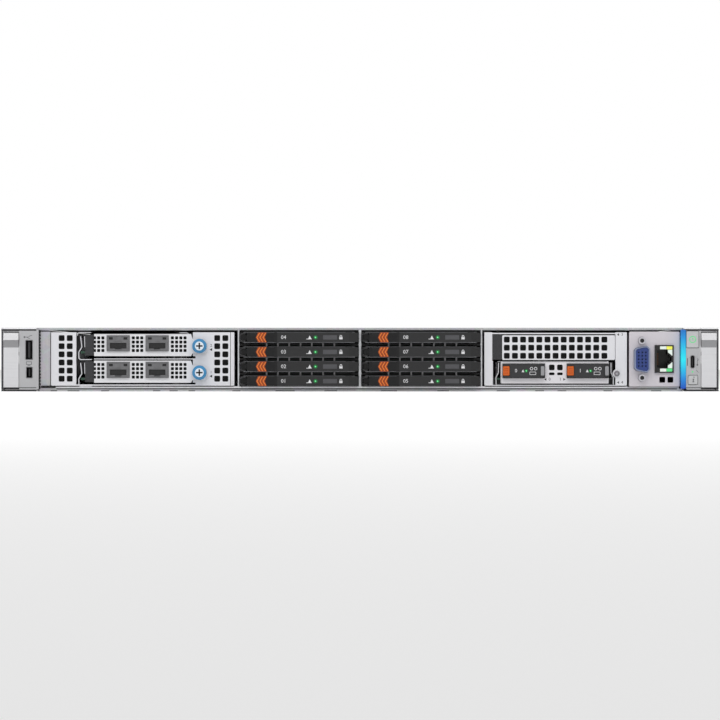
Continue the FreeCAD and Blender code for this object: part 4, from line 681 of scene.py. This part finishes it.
arch.prism(rectangle(-2.0, 0.9, 2.0, 1.35), -0.3, 0.1)
arch.frame(rounded(-7.65, 0, 7.65, 10.5, 0.5, 3), rounded(-7.0, 0.65, 7.0, 9.85, 0.4, 3), -0.35, 0.1)
field.piece("port_arches", arch, "port_metal", cage_nickel.material, (port_middle, cages_low.y, cages_low.z),
            2, PORT_PITCH, 2, CARD_PITCH, edge=0.08)

edge_paint = painted("folded_edge_paint", srgb(206, 206, 210), 0.35)
fold = Form("fold")
fold.fold([(-9.2, 13.4), (-8.3, 6.2), (-10.4, 2.6), (-10.3, -1.2), (-9.4, -2.3), (-1.6, -2.3)],
          0.6, 0.15, 9.0)
fold.fold([(-6.5, 13.4), (-6.3, 6.0)], 0.45, 0.15, 8.0)
field.piece("card_side_folds", fold, "panel_paint", edge_paint, (bracket_low.x, plate_face, 5.8), 1, 1.0, 2,
            CARD_PITCH)
hook = Form("frame_top_fold")
hook.fold([(-190.3, 37.6), (-190.1, 38.8), (-189.0, 39.6), (-181.0, 39.6)], 0.5, plate_face, plate_face + 9)
hook.fold([(-121.5, 39.4), (-116.4, 39.4), (-115.0, 38.2)], 0.5, plate_face, plate_face + 9)
hook.place("panel_paint", edge_paint)
foam = Finish("gasket_foam", srgb(58, 58, 60), 0.9)
cells = foam.node("ShaderNodeTexVoronoi", None, {"Vector": foam.place(), "Scale": 2500}, "Distance")
foam.feed("Base Color", foam.tint(cells, scaled(srgb(58, 58, 60), 1.25), scaled(srgb(58, 58, 60), 0.75)))
foam.bump(cells, 0.5, 0.0001)
gasket_foam = foam.material
pad = Form("pad").prism(rounded(-6.1, 0.4, -0.1, 14.5, 0.3), 0.2, 9.0)
field.piece("card_gaskets", pad, "carrier_plastic", gasket_foam, (bracket_low.x, plate_face, 5.8), 1, 1.0, 2,
            CARD_PITCH, edge=0.15)

board = Finish("solder_mask", srgb(20, 66, 46), 0.3, Coat_Weight=0.4)
traces = board.node("ShaderNodeTexBrick", {"offset": 0.5}, {
    "Vector": board.place(), "Scale": 300.0, "Mortar Size": 0.06, "Brick Width": 2.4, "Row Height": 0.35}, 1)
board.surface(board.tint(traces, srgb(20, 66, 46), srgb(38, 98, 66)),
              0.26 + board.noise(500, detail=2) * 0.16, traces, 0.2, 0.00008)
solder_mask = board.material
dressed("card_boards", solder_mask, 0.08)
for name in ("thumbscrew_lower", "thumbscrew_upper"):
    low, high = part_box(name)
    middle = (low + high) / 2
    blue = srgb(62, 136, 184)
    head = Finish(name + "_finish", blue, 0.4)
    across = head.along("X") - middle.x
    rise = head.along("Z") - middle.z
    reach = (across * across + rise * rise).maths("SQRT")
    bright = (reach < 0.00298) * (head.along("Y") < low.y + 0.0004)
    core = head.tint(head.noise(600), srgb(216, 226, 236), srgb(238, 246, 252))
    rim = head.tint(head.noise(40), scaled(blue, 0.92), scaled(blue, 1.08))
    head.surface(head.tint(bright, rim, core),
                 0.36 + head.noise(2600) * 0.12, head.noise(2600), 0.25, 0.00005, bright * 0.4)
    dressed(name, head.material, 0.12, body=name)
    front = (middle.x / MM, low.y / MM, middle.z / MM)
    # Painted shade: a black cross fills the screw's recess.
    recess = Form(name + "_recess", front)
    for wide, high in ((2.15, 0.48), (0.48, 2.15)):
        recess.prism(rectangle(-wide, -high, wide, high), 0.35, 1.72)
    recess.place("jack_plastic", port_black, body=name)
    grip = Form(name + "_knurl", front)
    for at in range(36):
        angle = math.tau * at / 36
        grip.prism([(radius * math.cos(angle + step), radius * math.sin(angle + step))
                    for radius, step in ((4.72, -0.05), (4.98, 0.0), (4.72, 0.05))], 1.4, 4.5)
    grip.place("blue_plastic", touch_blue, body=name)


def number(form, words, across, up, size, face):
    """A plain printed number, upright and facing forwards."""
    curve = bpy.data.curves.new("number", "FONT")
    curve.body = words
    curve.size = size * MM
    curve.align_x = "CENTER"
    curve.align_y = "CENTER"
    curve.extrude = 0.03 * MM
    curve.resolution_u = 2
    holder = bpy.data.objects.new("number", curve)
    bpy.context.scene.collection.objects.link(holder)
    mesh = evaluated(holder)
    place = (Vector((across, face, up)) + Vector(form.origin)) * MM
    mesh.transform(Matrix.Translation(place) @ Matrix.Rotation(math.pi / 2, 4, "X"))
    form.work.from_mesh(mesh)


dark_ink = film("dark_ink", srgb(40, 40, 42), 0.6)
marks = Form("slot_numbers")
for slot_number, up in (("2", 30.4), ("1", 12.5)):
    number(marks, slot_number, -100.2, up + 0.4, 2.6, plate_face)
    marks.printed(plate_face, [(-101.3, up - 2.3), (-99.5, up - 3.3), (-99.5, up - 1.3)], depth=0.02)
marks.place("panel_paint", dark_ink)

# ---- drives: cage, carriers and release levers ----
# Eight slim drives stand in two columns of four, each in a dark carrier that slides on the cage's rails.
# The cage is bright steel, painted near-black inside the drive bays as the shade between drives; each lever
# has orange chevrons, each face a green lamp.

cage_front = place_of("drive_cage")[0].y
drive_low, drive_high = place_of("drive_1")
column = (drive_low.x + drive_high.x) / -2
cage = Finish("cage_finish", srgb(206, 207, 210), 0.32)
span = abs(abs(cage.along("X")) - column * MM)
# Painted shade: inside the two drive columns the cage is near-black, for the dark between the drives.
bay_shade = (span < 0.0401) * (cage.along("Z") > 0.0021)
streaks = cage.noise(900, (1, 0.05, 1))
bright = cage.tint(streaks, srgb(196, 197, 200), srgb(216, 217, 220))
cage.surface(cage.tint(bay_shade, bright, srgb(14, 14, 15)),
             0.3 + streaks * 0.12 + bay_shade * 0.25, streaks, 0.1, 0.0001, 0.5 - bay_shade * 0.5)
dressed("drive_cage", cage.material, 0.08)
rib_grey = moulded("rib_grey", srgb(150, 150, 152), 0.45)
ROW = 9.8
rib = Form("rib").prism(rounded(-0.55, -1.25, 0.55, 1.25, 0.4), -0.5, 0.6)
for side, name in ((-1, "left_cage_ribs"), (1, "right_cage_ribs")):
    first = side * column + 1.0 - 22.8
    field.piece(name, rib, "cage_metal", rib_grey, (first, cage_front - 0.1, 11.8), 7, 7.6, 3, ROW)

carrier = Finish("carrier_black", srgb(38, 38, 39), 0.5, Specular_IOR_Level=0.4)
grain = carrier.noise(2600, detail=2)
deep = carrier.along("Y") > -0.0155
black = carrier.tint(carrier.noise(60), srgb(32, 32, 33), srgb(39, 39, 40))
tray = carrier.tint(carrier.noise(500, (1, 0.05, 1)), srgb(120, 121, 124), srgb(150, 151, 154))
carrier.surface(carrier.tint(deep, black, tray), 0.4 + grain * 0.12, grain, 0.3, 0.00006, deep * 0.5)
lever = Finish("lever_black", srgb(30, 30, 31), 0.5, Specular_IOR_Level=0.25)
across = lever.along("X")
# Painted shade: the recessed left end of each lever is darker.
shaded_left_end = (across < -0.0761) + (across > 0.0) * (across < 0.0061)
black = lever.tint(lever.noise(60), srgb(22, 22, 23), srgb(28, 28, 29))
lever.surface(lever.tint(shaded_left_end, black, srgb(15, 15, 16)),
              0.45 + lever.noise(2600) * 0.1, lever.noise(2600), 0.25, 0.00005)
orange = moulded("lever_orange", srgb(228, 122, 40), 0.45)
rust = moulded("lever_rust", srgb(150, 58, 6), 0.5)
white_ink = film("white_ink", srgb(222, 222, 224))
lamp_green = film("lamp_green", srgb(90, 210, 125), 0.25, 0.5, 0.5)
lamp_dark = film("lamp_dark", srgb(20, 96, 46), 0.3)
label_grey = film("label_grey", srgb(74, 74, 77), 0.55)
for count in range(1, 9):
    drive = "drive_%d" % count
    dressed(drive, carrier.material, 0.12, body=drive)
    low, high = place_of(drive)
    middle = (low.x + high.x) / 2
    up = (low.z + high.z) / 2
    front = (middle, low.y, up)
    latch = drive + "_latch"
    latch_face = place_of(latch)[0].y
    ground = ((middle - 33, latch_face - 1, up - 6), (middle - 15, latch_face + 0.2, up + 6))
    dressed(latch, lever.material, 0.06, [ground], body=latch)
    arrows = Form(drive + "_arrow_ground", (middle, latch_face, up))
    arrows.prism([(-29.0, 0), (-27.4, -3.4), (-21.6, -3.4),
                  (-22.9, 0), (-21.6, 3.4), (-27.4, 3.4)],
                 0.12, 0.5)
    arrows.place("lever_plastic", rust, body=latch)
    arrows = Form(drive + "_arrows", (middle, latch_face, up))
    for at in range(3):
        tip = -28.2 + 2.05 * at
        arrows.fold([(tip + 1.8, -3.0), (tip, 0), (tip + 1.8, 3.0)], 0.6, 0.02, 0.5)
    arrows.place("lever_plastic", orange, body=latch)
    # A black film over the seam between lever and carrier: painted shade of the gap.
    gap_line = Form(drive + "_lever_gap", front)
    gap_line.printed(0, [(-16.6, -3.4), (-14.2, -3.4), (-14.6, -2.8), (-14.6, 3.4), (-16.6, 3.4)])
    gap_line.place("carrier_plastic", painted_gap_shade.material, body=drive)
    end = Form(drive + "_end", front).prism(rounded(33.4, -3.0, 39.5, 3.0, 0.5), -0.02, 0.3)
    end.prism(rounded(31.2, 2.2, 35.8, 3.6, 0.5), 0.1, 2.4)
    end.place("carrier_plastic", port_black, 0.1, body=drive)
    marks = Form(drive + "_marks", front)
    number(marks, "0%d" % count, -10.3, 0, 3.6, 0)
    marks.printed(0, rectangle(27.1, -1.3, 29.3, 0.3), [
        (5.0, -0.9), (6.2, -0.9), (7.2, 1.3), (8.4, -0.9), (8.6, -0.9), (8.6, -1.3), (5.0, -1.3)])
    marks.printed(0, rounded(27.4, -0.2, 29.0, 1.5, 0.7), hole=rounded(27.8, -0.1, 28.6, 1.1, 0.35))
    marks.place("carrier_plastic", white_ink, body=drive)
    strip = Form(drive + "_label", front)
    outline = rounded(16.2, -1.5, 25.6, 1.5, 0.3)
    strip.printed(0, outline)
    strip.frame(outline, rounded(16.5, -1.2, 25.3, 1.2, 0.2), -0.07, 0)
    strip.place("carrier_plastic", label_grey, body=drive)
    lens = Form(drive + "_lens", front).prism(disc(11.2, 0, 1.45, 24), -0.06, 0.2)
    lens.frame(disc(11.2, 0, 1.45, 24), disc(11.2, 0, 1.2, 24), -0.12, -0.05)
    lens.place("carrier_plastic", lamp_dark, 0.05, body=drive)
    lamp = Form(drive + "_lamp", front).prism(disc(11.1, 0, 0.55, 20), -0.14, 0.1)
    lamp.prism(disc(11.1, 0, 0.35, 20), -0.2, -0.12)
    lamp.place("carrier_plastic", lamp_green, 0.05, body=drive)
dressed("drive_backplane", solder_mask, 0.08)

# ---- right riser: frame, vented blank, boot drives ----
# The frame right of the drives is closed by a vented blank above and holds the boot drives below.
# Each boot drive is a short carrier with an orange release and a grey finger tab.

riser_low, riser_high = place_of("right_riser_frame")
blank_low, blank_high = place_of("vent_blank")
module_low, module_high = place_of("boot_module_frame")
window = riser_low.x + 5.3
strip = riser_high.x - 7.7
# The boot module carries painted shade on its hole walls and edges.
module_paint_and_hole_shade = painted("module_paint_and_hole_shade", srgb(226, 224, 228), face=module_low.y)
dressed("right_riser_frame", plate_paint_and_hole_shade, 0.05, [
    opening(riser_low.x - 1, 39.75, riser_high.x + 1, 42), opening(window, 39.35, strip, 39.8),
    opening(window, 37.6, strip - 0.2, 38.55), opening(window, 20.2, strip - 0.2, 21.2),
    opening(window, 4.6, module_low.x + 1, 20.3), opening(module_high.x - 3, 4.6, strip, 20.3),
    opening(window, 4.35, strip, 5.5)])
dressed("vent_blank", plate_paint_and_hole_shade, 0.05, [
    vent_cutter((blank_low.x + 3.1, blank_low.y, 23.9), 13, 3),
    opening(blank_low.x - 1, 37.75, blank_high.x + 1, 39, blank_low.y, 1.4),
    opening(blank_low.x - 1, 20.0, blank_high.x + 1, 21.15, blank_low.y, 1.4)])
ovals = Form("ovals")
for left in (127.15, 132.65):
    ovals.prism(rounded(left, 10.9, left + 3.8, 12.7, 0.8), module_low.y - 1, module_low.y + 3)
dressed("boot_module_frame", module_paint_and_hole_shade, 0.05, [
    opening(module_low.x - 1, module_low.z - 1, module_low.x + 3.6, 21, module_low.y, 1.4),
    opening(module_high.x - 3.2, module_low.z - 1, module_high.x + 1, 21, module_low.y, 1.4),
    vent_cutter((131.8 - VENT_PITCH / 2, module_low.y, 16.1), 2, 1, 3.8), (ovals.mesh(),)])
# Black sheets behind the blank's vents, the ovals and the foot of the window: painted shade.
shade = Form("blank_shade")
shade.prism(rectangle(blank_low.x + 0.5, 21.4, blank_high.x - 0.4, 38.0), plate_face + 2.2, plate_face + 2.6)
shade.prism(rectangle(126.4, 10.5, 137.2, 18.4), plate_face + 2.2, plate_face + 2.6)
shade.prism(rectangle(window + 0.2, 4.2, strip - 0.2, 9.0), plate_face + 1.8, plate_face + 2.2)
shade.place("carrier_plastic", painted_gap_shade.material)
pad = Form("right_gasket").prism(rounded(window + 0.1, 21.3, blank_low.x + 0.1, 38.1, 0.4), plate_face + 0.2,
                                 plate_face + 9)
pad.place("carrier_plastic", gasket_foam, 0.15)
folds = Form("boot_side_folds")
for path, width, start, end in (
        ([(93.3, 19.2), (93.1, 12.6), (91.5, 9.4), (91.6, 4.6)], 0.55, 0.1, 9),
        ([(168.9, 19.2), (168.9, 12.6), (170.5, 9.4), (170.5, 4.6)], 0.6, 0.1, 9),
        ([(89.1, 20.6), (89.1, 4.4)], 0.8, 0.1, 7), ([(95.6, 20.0), (94.9, 19.2), (94.9, 5.6)], 0.5, -0.1, 3),
        ([(166.4, 20.0), (167.1, 19.2), (167.1, 5.6)], 0.5, -0.1, 3)):
    folds.fold(path, width, plate_face + start, plate_face + end)
folds.place("panel_paint", edge_paint)
patch = Form("boot_board_edge")
patch.prism([(91.9, 7.9), (95.6, 7.9), (95.6, 9.0), (94.2, 9.0), (94.2, 8.7), (93.4, 8.7), (93.4, 9.0),
             (91.9, 9.0)], plate_face + 0.6, plate_face + 20)
patch.place("board_green", solder_mask)
release_orange = moulded("release_orange", srgb(205, 92, 10), 0.42)
carrier_dark = moulded("carrier_dark", srgb(40, 40, 42), 0.42)
tab_grey = moulded("tab_grey", srgb(150, 150, 153), 0.4)
for side in ("left", "right"):
    node = "boot_drive_" + side
    dressed(node, carrier_dark, 0.12, body=node)
    release = "boot_release_" + side
    dressed(release, release_orange, 0.1, body=release)
    low, high = place_of(node)
    middle = (low.z + high.z) / 2
    front = (low.x, module_low.y - 2.4, middle)
    tab = Form(node + "_tab").prism(rounded(high.x - 2.75, low.z + 1.6, high.x - 0.35, high.z - 1.6, 0.6),
                                    low.y - 0.05, low.y + 0.3)
    tab.prism(rectangle(high.x - 2.2, middle - 0.2, high.x - 0.9, middle + 0.2), low.y - 0.2, low.y)
    tab.place("carrier_plastic", tab_grey, 0.1, body=node)
    marks = Form(node + "_marks", front)
    number(marks, "0" if side == "left" else "1", 8.8, 0, 3.4, 0)
    marks.printed(0, [(12.6, -0.9), (14.4, -0.9), (13.5, 1.0)])
    marks.printed(0, rounded(17.9, -2.7, 22.3, -0.6, 0.4), hole=rounded(18.2, -2.4, 22.0, -0.9, 0.3))
    for across in (19.2, 22.0):
        marks.printed(0, disc(across, 1.5, 1.1, 20), hole=disc(across, 1.5, 0.75, 20))
    marks.place("carrier_plastic", white_ink, body=node)
    lens = Form(node + "_lens", front).prism(disc(15.7, 0, 1.25, 20), -0.05, 0.1)
    lens.frame(disc(15.7, 0, 1.25, 20), disc(15.7, 0, 1.0, 20), -0.09, 0)
    lens.place("carrier_plastic", lamp_dark, body=node)
    lamp = Form(node + "_lamp", front).prism(disc(15.7, 0, 0.5, 16), -0.1, 0.1)
    lamp.prism(disc(15.7, 0, 0.3, 16), -0.15, -0.08)
    lamp.place("carrier_plastic", lamp_green, 0.05, body=node)
marks = Form("boot_numbers")
for drive_number, across, foot, tip in (("0", 127.6, 125.4, 123.9), ("1", 134.8, 136.8, 138.3)):
    number(marks, drive_number, across, 8.1, 2.8, module_low.y)
    marks.printed(module_low.y, [(tip, 8.1), (foot, 7.2), (foot, 9.0)], depth=0.02)
for slot_number, up in (("3", 38.2), ("4", 6.0)):
    number(marks, slot_number, 176.4, up, 2.6, plate_face)
    marks.printed(plate_face, [(173.0, up), (174.3, up - 0.9), (174.3, up + 0.9)], depth=0.02)
for up, radius in ((32.7, 0.85), (27.0, 0.6)):
    marks.prism(disc(170.8, up, radius, 16), plate_face - 0.04, plate_face + 0.02)
marks.place("panel_paint", dark_ink)
screw_place = (strip + 1.0, plate_face, 12.0)
seat = disc(0, 0, 2.9, 32)
fixings = Form("riser_screw", screw_place).prism(seat, -0.3, 0.05)
fixings.frame(seat, disc(0, 0, 2.4, 32), -0.4, -0.25)
fixings.place("panel_paint", plate_paint_and_hole_shade, 0.1)
screw = Form("riser_screw_head", screw_place)
HEAD_RADIUS = 1.9
lobes = []
for at in range(24):
    reach = HEAD_RADIUS * (0.5 if at % 4 < 2 else 0.36)
    lobes.append((reach * math.cos(math.tau * at / 24), reach * math.sin(math.tau * at / 24)))
screw.frame(disc(0, 0, HEAD_RADIUS), disc(0, 0, HEAD_RADIUS * 0.82), -0.85, -0.2)
screw.frame(disc(0, 0, HEAD_RADIUS * 0.83), lobes, -1.1, -0.3)
screw.place("cage_metal", rolled_steel("screw_steel", srgb(132, 132, 135), 0.3))

# ---- service panel ----
# A painted plate with the video port, the upright network jack and two vents.
# The video port is a blue insert in a nickel shell between two threaded posts; the jack has light pipes.

panel_low = place_of("io_panel")[0]
# The service panel carries painted shade on its hole walls and edges.
service_paint = painted("service_paint", srgb(208, 203, 208), face=panel_low.y)
dressed("io_panel", service_paint, 0.08, [
    vent_cutter((panel_low.x + 22.3, panel_low.y, 7.8), 2, 1, 3.9)])
port_low, port_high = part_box("video_port")
port_middle = (port_low + port_high) / 2
video = Finish("video_port_finish", srgb(50, 75, 145), 0.4)
across = abs(video.along("X") - port_middle.x)
rise = abs(video.along("Z") - port_middle.z)
depth = video.along("Y")
insert_blue = (across < 0.0043) * (rise < 0.0079) * (depth > port_low.y + 0.0002) * (depth < plate_face * MM)
post = rise > 0.0098
shell_tint = video.tint(post, srgb(140, 150, 176), srgb(196, 194, 200))
video.feed("Base Color", video.tint(insert_blue, shell_tint, video.tint(
    video.noise(60), srgb(34, 55, 118), srgb(44, 66, 132))))
video.feed("Metallic", 0.6 - insert_blue * 0.6)
video.feed("Roughness", 0.34 + video.noise(2600) * 0.12)
video.bump(video.noise(2600), 0.2, 0.00005)
dressed("video_port", video.material, 0.1)
# Black plugs in the posts' bores: painted shade of the holes.
bore_shades = Form("video_post_bores")
for sign in (-1, 1):
    bore_shades.prism(disc(port_middle.x / MM, port_middle.z / MM + sign * 12.5, 1.38, 20), plate_face - 2.6,
                plate_face + 0.5)
bore_shades.place("jack_plastic", port_black)
jack_low, jack_high = place_of("ethernet_jack")
jack_black = moulded("jack_black", srgb(24, 22, 22), 0.38)
dressed("ethernet_jack", jack_black, 0.08)
clear_pipe = film("clear_pipe", srgb(228, 238, 228), 0.3, 0.12, 0.5)
pipe_yellow = film("lit_yellow", srgb(226, 224, 86), 0.3, 0.3)
jack_middle = (jack_low.z + jack_high.z) / 2
face = jack_low.y
jack_front = (jack_high.x, face, jack_middle)
pipes = Form("jack_light_pipes", jack_front)
for sign in (-1, 1):
    for outline in ([(-9.2, 6.5), (-4.9, 6.5), (-4.9, 8.5), (-9.2, 8.5)],
                    [(-3.9, 6.2), (-3.9, 4.4), (-2.4, 3.4), (-1.2, 2.2), (-0.9, 2.2), (-0.9, 6.2)]):
        pipes.prism([(across, sign * rise) for across, rise in outline], -0.06, 0.4)
pipes.place("jack_plastic", clear_pipe, 0.08)
for name, sign, colour in (("green", -1, lit_green), ("yellow", 1, pipe_yellow)):
    lamp = Form("jack_%s_lamp" % name, jack_front)
    lamp.prism([(across, sign * rise) for across, rise in (
        (-4.8, 6.4), (-0.9, 6.4), (-0.9, 8.2), (-1.2, 8.5), (-4.8, 8.5))], -0.07, 0.6)
    lamp.place("jack_plastic", colour, 0.08)
# The contacts' gold is painted dark brown, as shade deep in the jack.
gold_in_shade = Finish("contact_gold_in_shade", srgb(96, 62, 30), 0.4, 0.7)
cloud = gold_in_shade.noise(600)
gold_in_shade.surface(gold_in_shade.tint(cloud, srgb(84, 54, 26), srgb(108, 70, 34)),
             0.25 + cloud * 0.15, gold_in_shade.noise(1500), 0.15, 0.00003)
contact = Form("contact").prism([(0.0, -0.18), (1.2, -0.18), (1.4, 0.0), (1.2, 0.18), (0.0, 0.18)], 0, 9)
field.piece("jack_contacts", contact, "port_metal", gold_in_shade.material,
            (jack_low.x + 1.25, face + 4.0, jack_middle - 3.57), 1, 1.0, 8, 1.02)

# ---- inside: mainboard, heatsinks, memory and fans ----
# What lies under the lift-off cover: a green board on posts with its capacitors and controllers,
# two finned heatsinks on the processors, sixteen memory modules with their chips, and six fans.

dressed("mainboard", solder_mask, 0.1)
fin_aluminium = rolled_steel("fin_aluminium", srgb(206, 207, 210), 0.3)
dressed("heatsinks", fin_aluminium, 0.06)
dressed("memory_modules", solder_mask, 0.06)
chip_black = moulded("chip_black", srgb(30, 30, 32), 0.42)
chip = Form("chip").block((0.7, -4.6, 17.5), (1.6, 4.6, 31.5)).block((-1.6, -4.6, 17.5), (-0.7, 4.6, 31.5))
chips = Form("memory_chips")
for first in (-176.8, -56.0, 33.2, 154.0):
    chips.work.from_mesh(field.mesh(chip, chip_black, (first, 315.4, 0.0), 4, 7.6, 8, 15.6, "top"))
chips.place("carrier_plastic", chip_black)
board_top = 7.6
can = Form("can").prism(disc(0, 0, 3.1, 12), -0.1, 6.0, "z").prism(disc(0, 0, 2.6, 12), 6.0, 6.25, "z")
cans = Form("board_capacitors")
for back in (272.0, 452.0):
    cans.work.from_mesh(field.mesh(can, fin_aluminium, (-192.0, back, board_top), 25, 16.0, 2, 9.0, "top"))
cans.place("sink_metal", fin_aluminium)
hub = Form("board_controllers")
for across, back, wide in ((0, 500, 17.0), (-62, 492, 9.0), (58, 506, 11.0), (-110, 500, 7.0)):
    for reach, low, high in ((wide, -0.1, 1.2), (wide * 0.6, 1.1, 1.9)):
        hub.prism(rounded(across - reach, back - reach, across + reach, back + reach, 0.8),
                  board_top + low, board_top + high, "z")
hub.place("carrier_plastic", chip_black, 0.1)
fan_black = moulded("fan_black", srgb(34, 34, 36), 0.5)
dressed("fan_housings", fan_black, 0.2)
for count in range(1, 7):
    rotor = "fan_rotor_%d" % count
    dressed(rotor, fan_black, 0.1, body=rotor)

# ---- power supplies ----
# Two sheet-metal cases slide in from the back, each with a mains inlet, a fan grille,
# a strap handle and an orange latch tab.

supply_steel = rolled_steel("supply_steel", srgb(168, 169, 172), 0.36)
for side in ("left", "right"):
    for node, slot, finish in (("psu_", "supply_case", supply_steel),
                               ("psu_latch_", "orange_plastic", release_orange)):
        dressed(node + side, finish, 0.2, body=node + side)

# ---- floor, backdrop, light and camera ----
# A pale floor under soft studio light: a key lamp above the front, and a weaker one at each side.
# The camera looks straight at the front through a long lens.

floor_mesh = bpy.data.meshes.new("floor")
floor_mesh.from_pydata([(-6, -6, 0), (6, -6, 0), (6, 6, 0), (-6, 6, 0)], [], [(0, 1, 2, 3)])
floor = bpy.data.objects.new("floor", floor_mesh)
bpy.context.scene.collection.objects.link(floor)
pale = Finish("floor_pale", (0.86, 0.86, 0.86), 0.9)
direct = (pale.node("ShaderNodeLightPath", output="Is Camera Ray")
          + pale.node("ShaderNodeLightPath", output="Is Glossy Ray"))
pale.feed("Emission Color", pale.tint(direct, (0, 0, 0), (1, 1, 1)))
pale.shader.inputs["Emission Strength"].default_value = 0.25
floor_mesh.materials.append(pale.material)

world = bpy.data.worlds.new("studio")
bpy.context.scene.world = world
world.use_nodes = True
sky = Nodes()
sky.tree = world.node_tree
seen = sky.node("ShaderNodeLightPath", output="Is Camera Ray").maths(
    "MAXIMUM", sky.node("ShaderNodeLightPath", output="Is Transmission Ray"))
level = sky.node("ShaderNodeMapRange", inputs={0: seen, 3: 0.55, 4: 1.0})
background = sky.tree.nodes["Background"]
background.inputs["Color"].default_value = (1, 1, 1, 1)
sky.tree.links.new(level.socket, background.inputs["Strength"])


def softbox(name, place, aim, width, depth, power):
    lamp = bpy.data.lights.new(name, "AREA")
    lamp.shape = "RECTANGLE"
    lamp.size = width
    lamp.size_y = depth
    lamp.energy = power
    holder = bpy.data.objects.new(name, lamp)
    holder.location = place
    holder.rotation_euler = (Vector(aim) - Vector(place)).to_track_quat("-Z", "Y").to_euler()
    bpy.context.scene.collection.objects.link(holder)


softbox("key_light", (0.0, -1.1, 1.5), (0, 0, 0.02), 2.0, 0.8, 16)
softbox("left_light", (-1.8, -0.6, 0.8), (0, 0.2, 0.02), 0.8, 0.8, 4)
softbox("right_light", (1.8, -0.6, 0.8), (0, 0.2, 0.02), 0.8, 0.8, 4)

LENS = 200.0
SENSOR = 36.0
VIEW_WIDTH = 0.4840
front_plane = -0.018
camera = bpy.data.cameras.new("camera")
camera.lens = LENS
camera.sensor_width = SENSOR
camera.clip_end = 50
viewer = bpy.data.objects.new("camera", camera)
viewer.location = (0.0, front_plane - VIEW_WIDTH * LENS / SENSOR, 0.0211)
viewer.rotation_euler = (math.radians(90), 0, 0)
bpy.context.scene.collection.objects.link(viewer)
bpy.context.scene.camera = viewer
bpy.context.scene.view_settings.view_transform = "Standard"
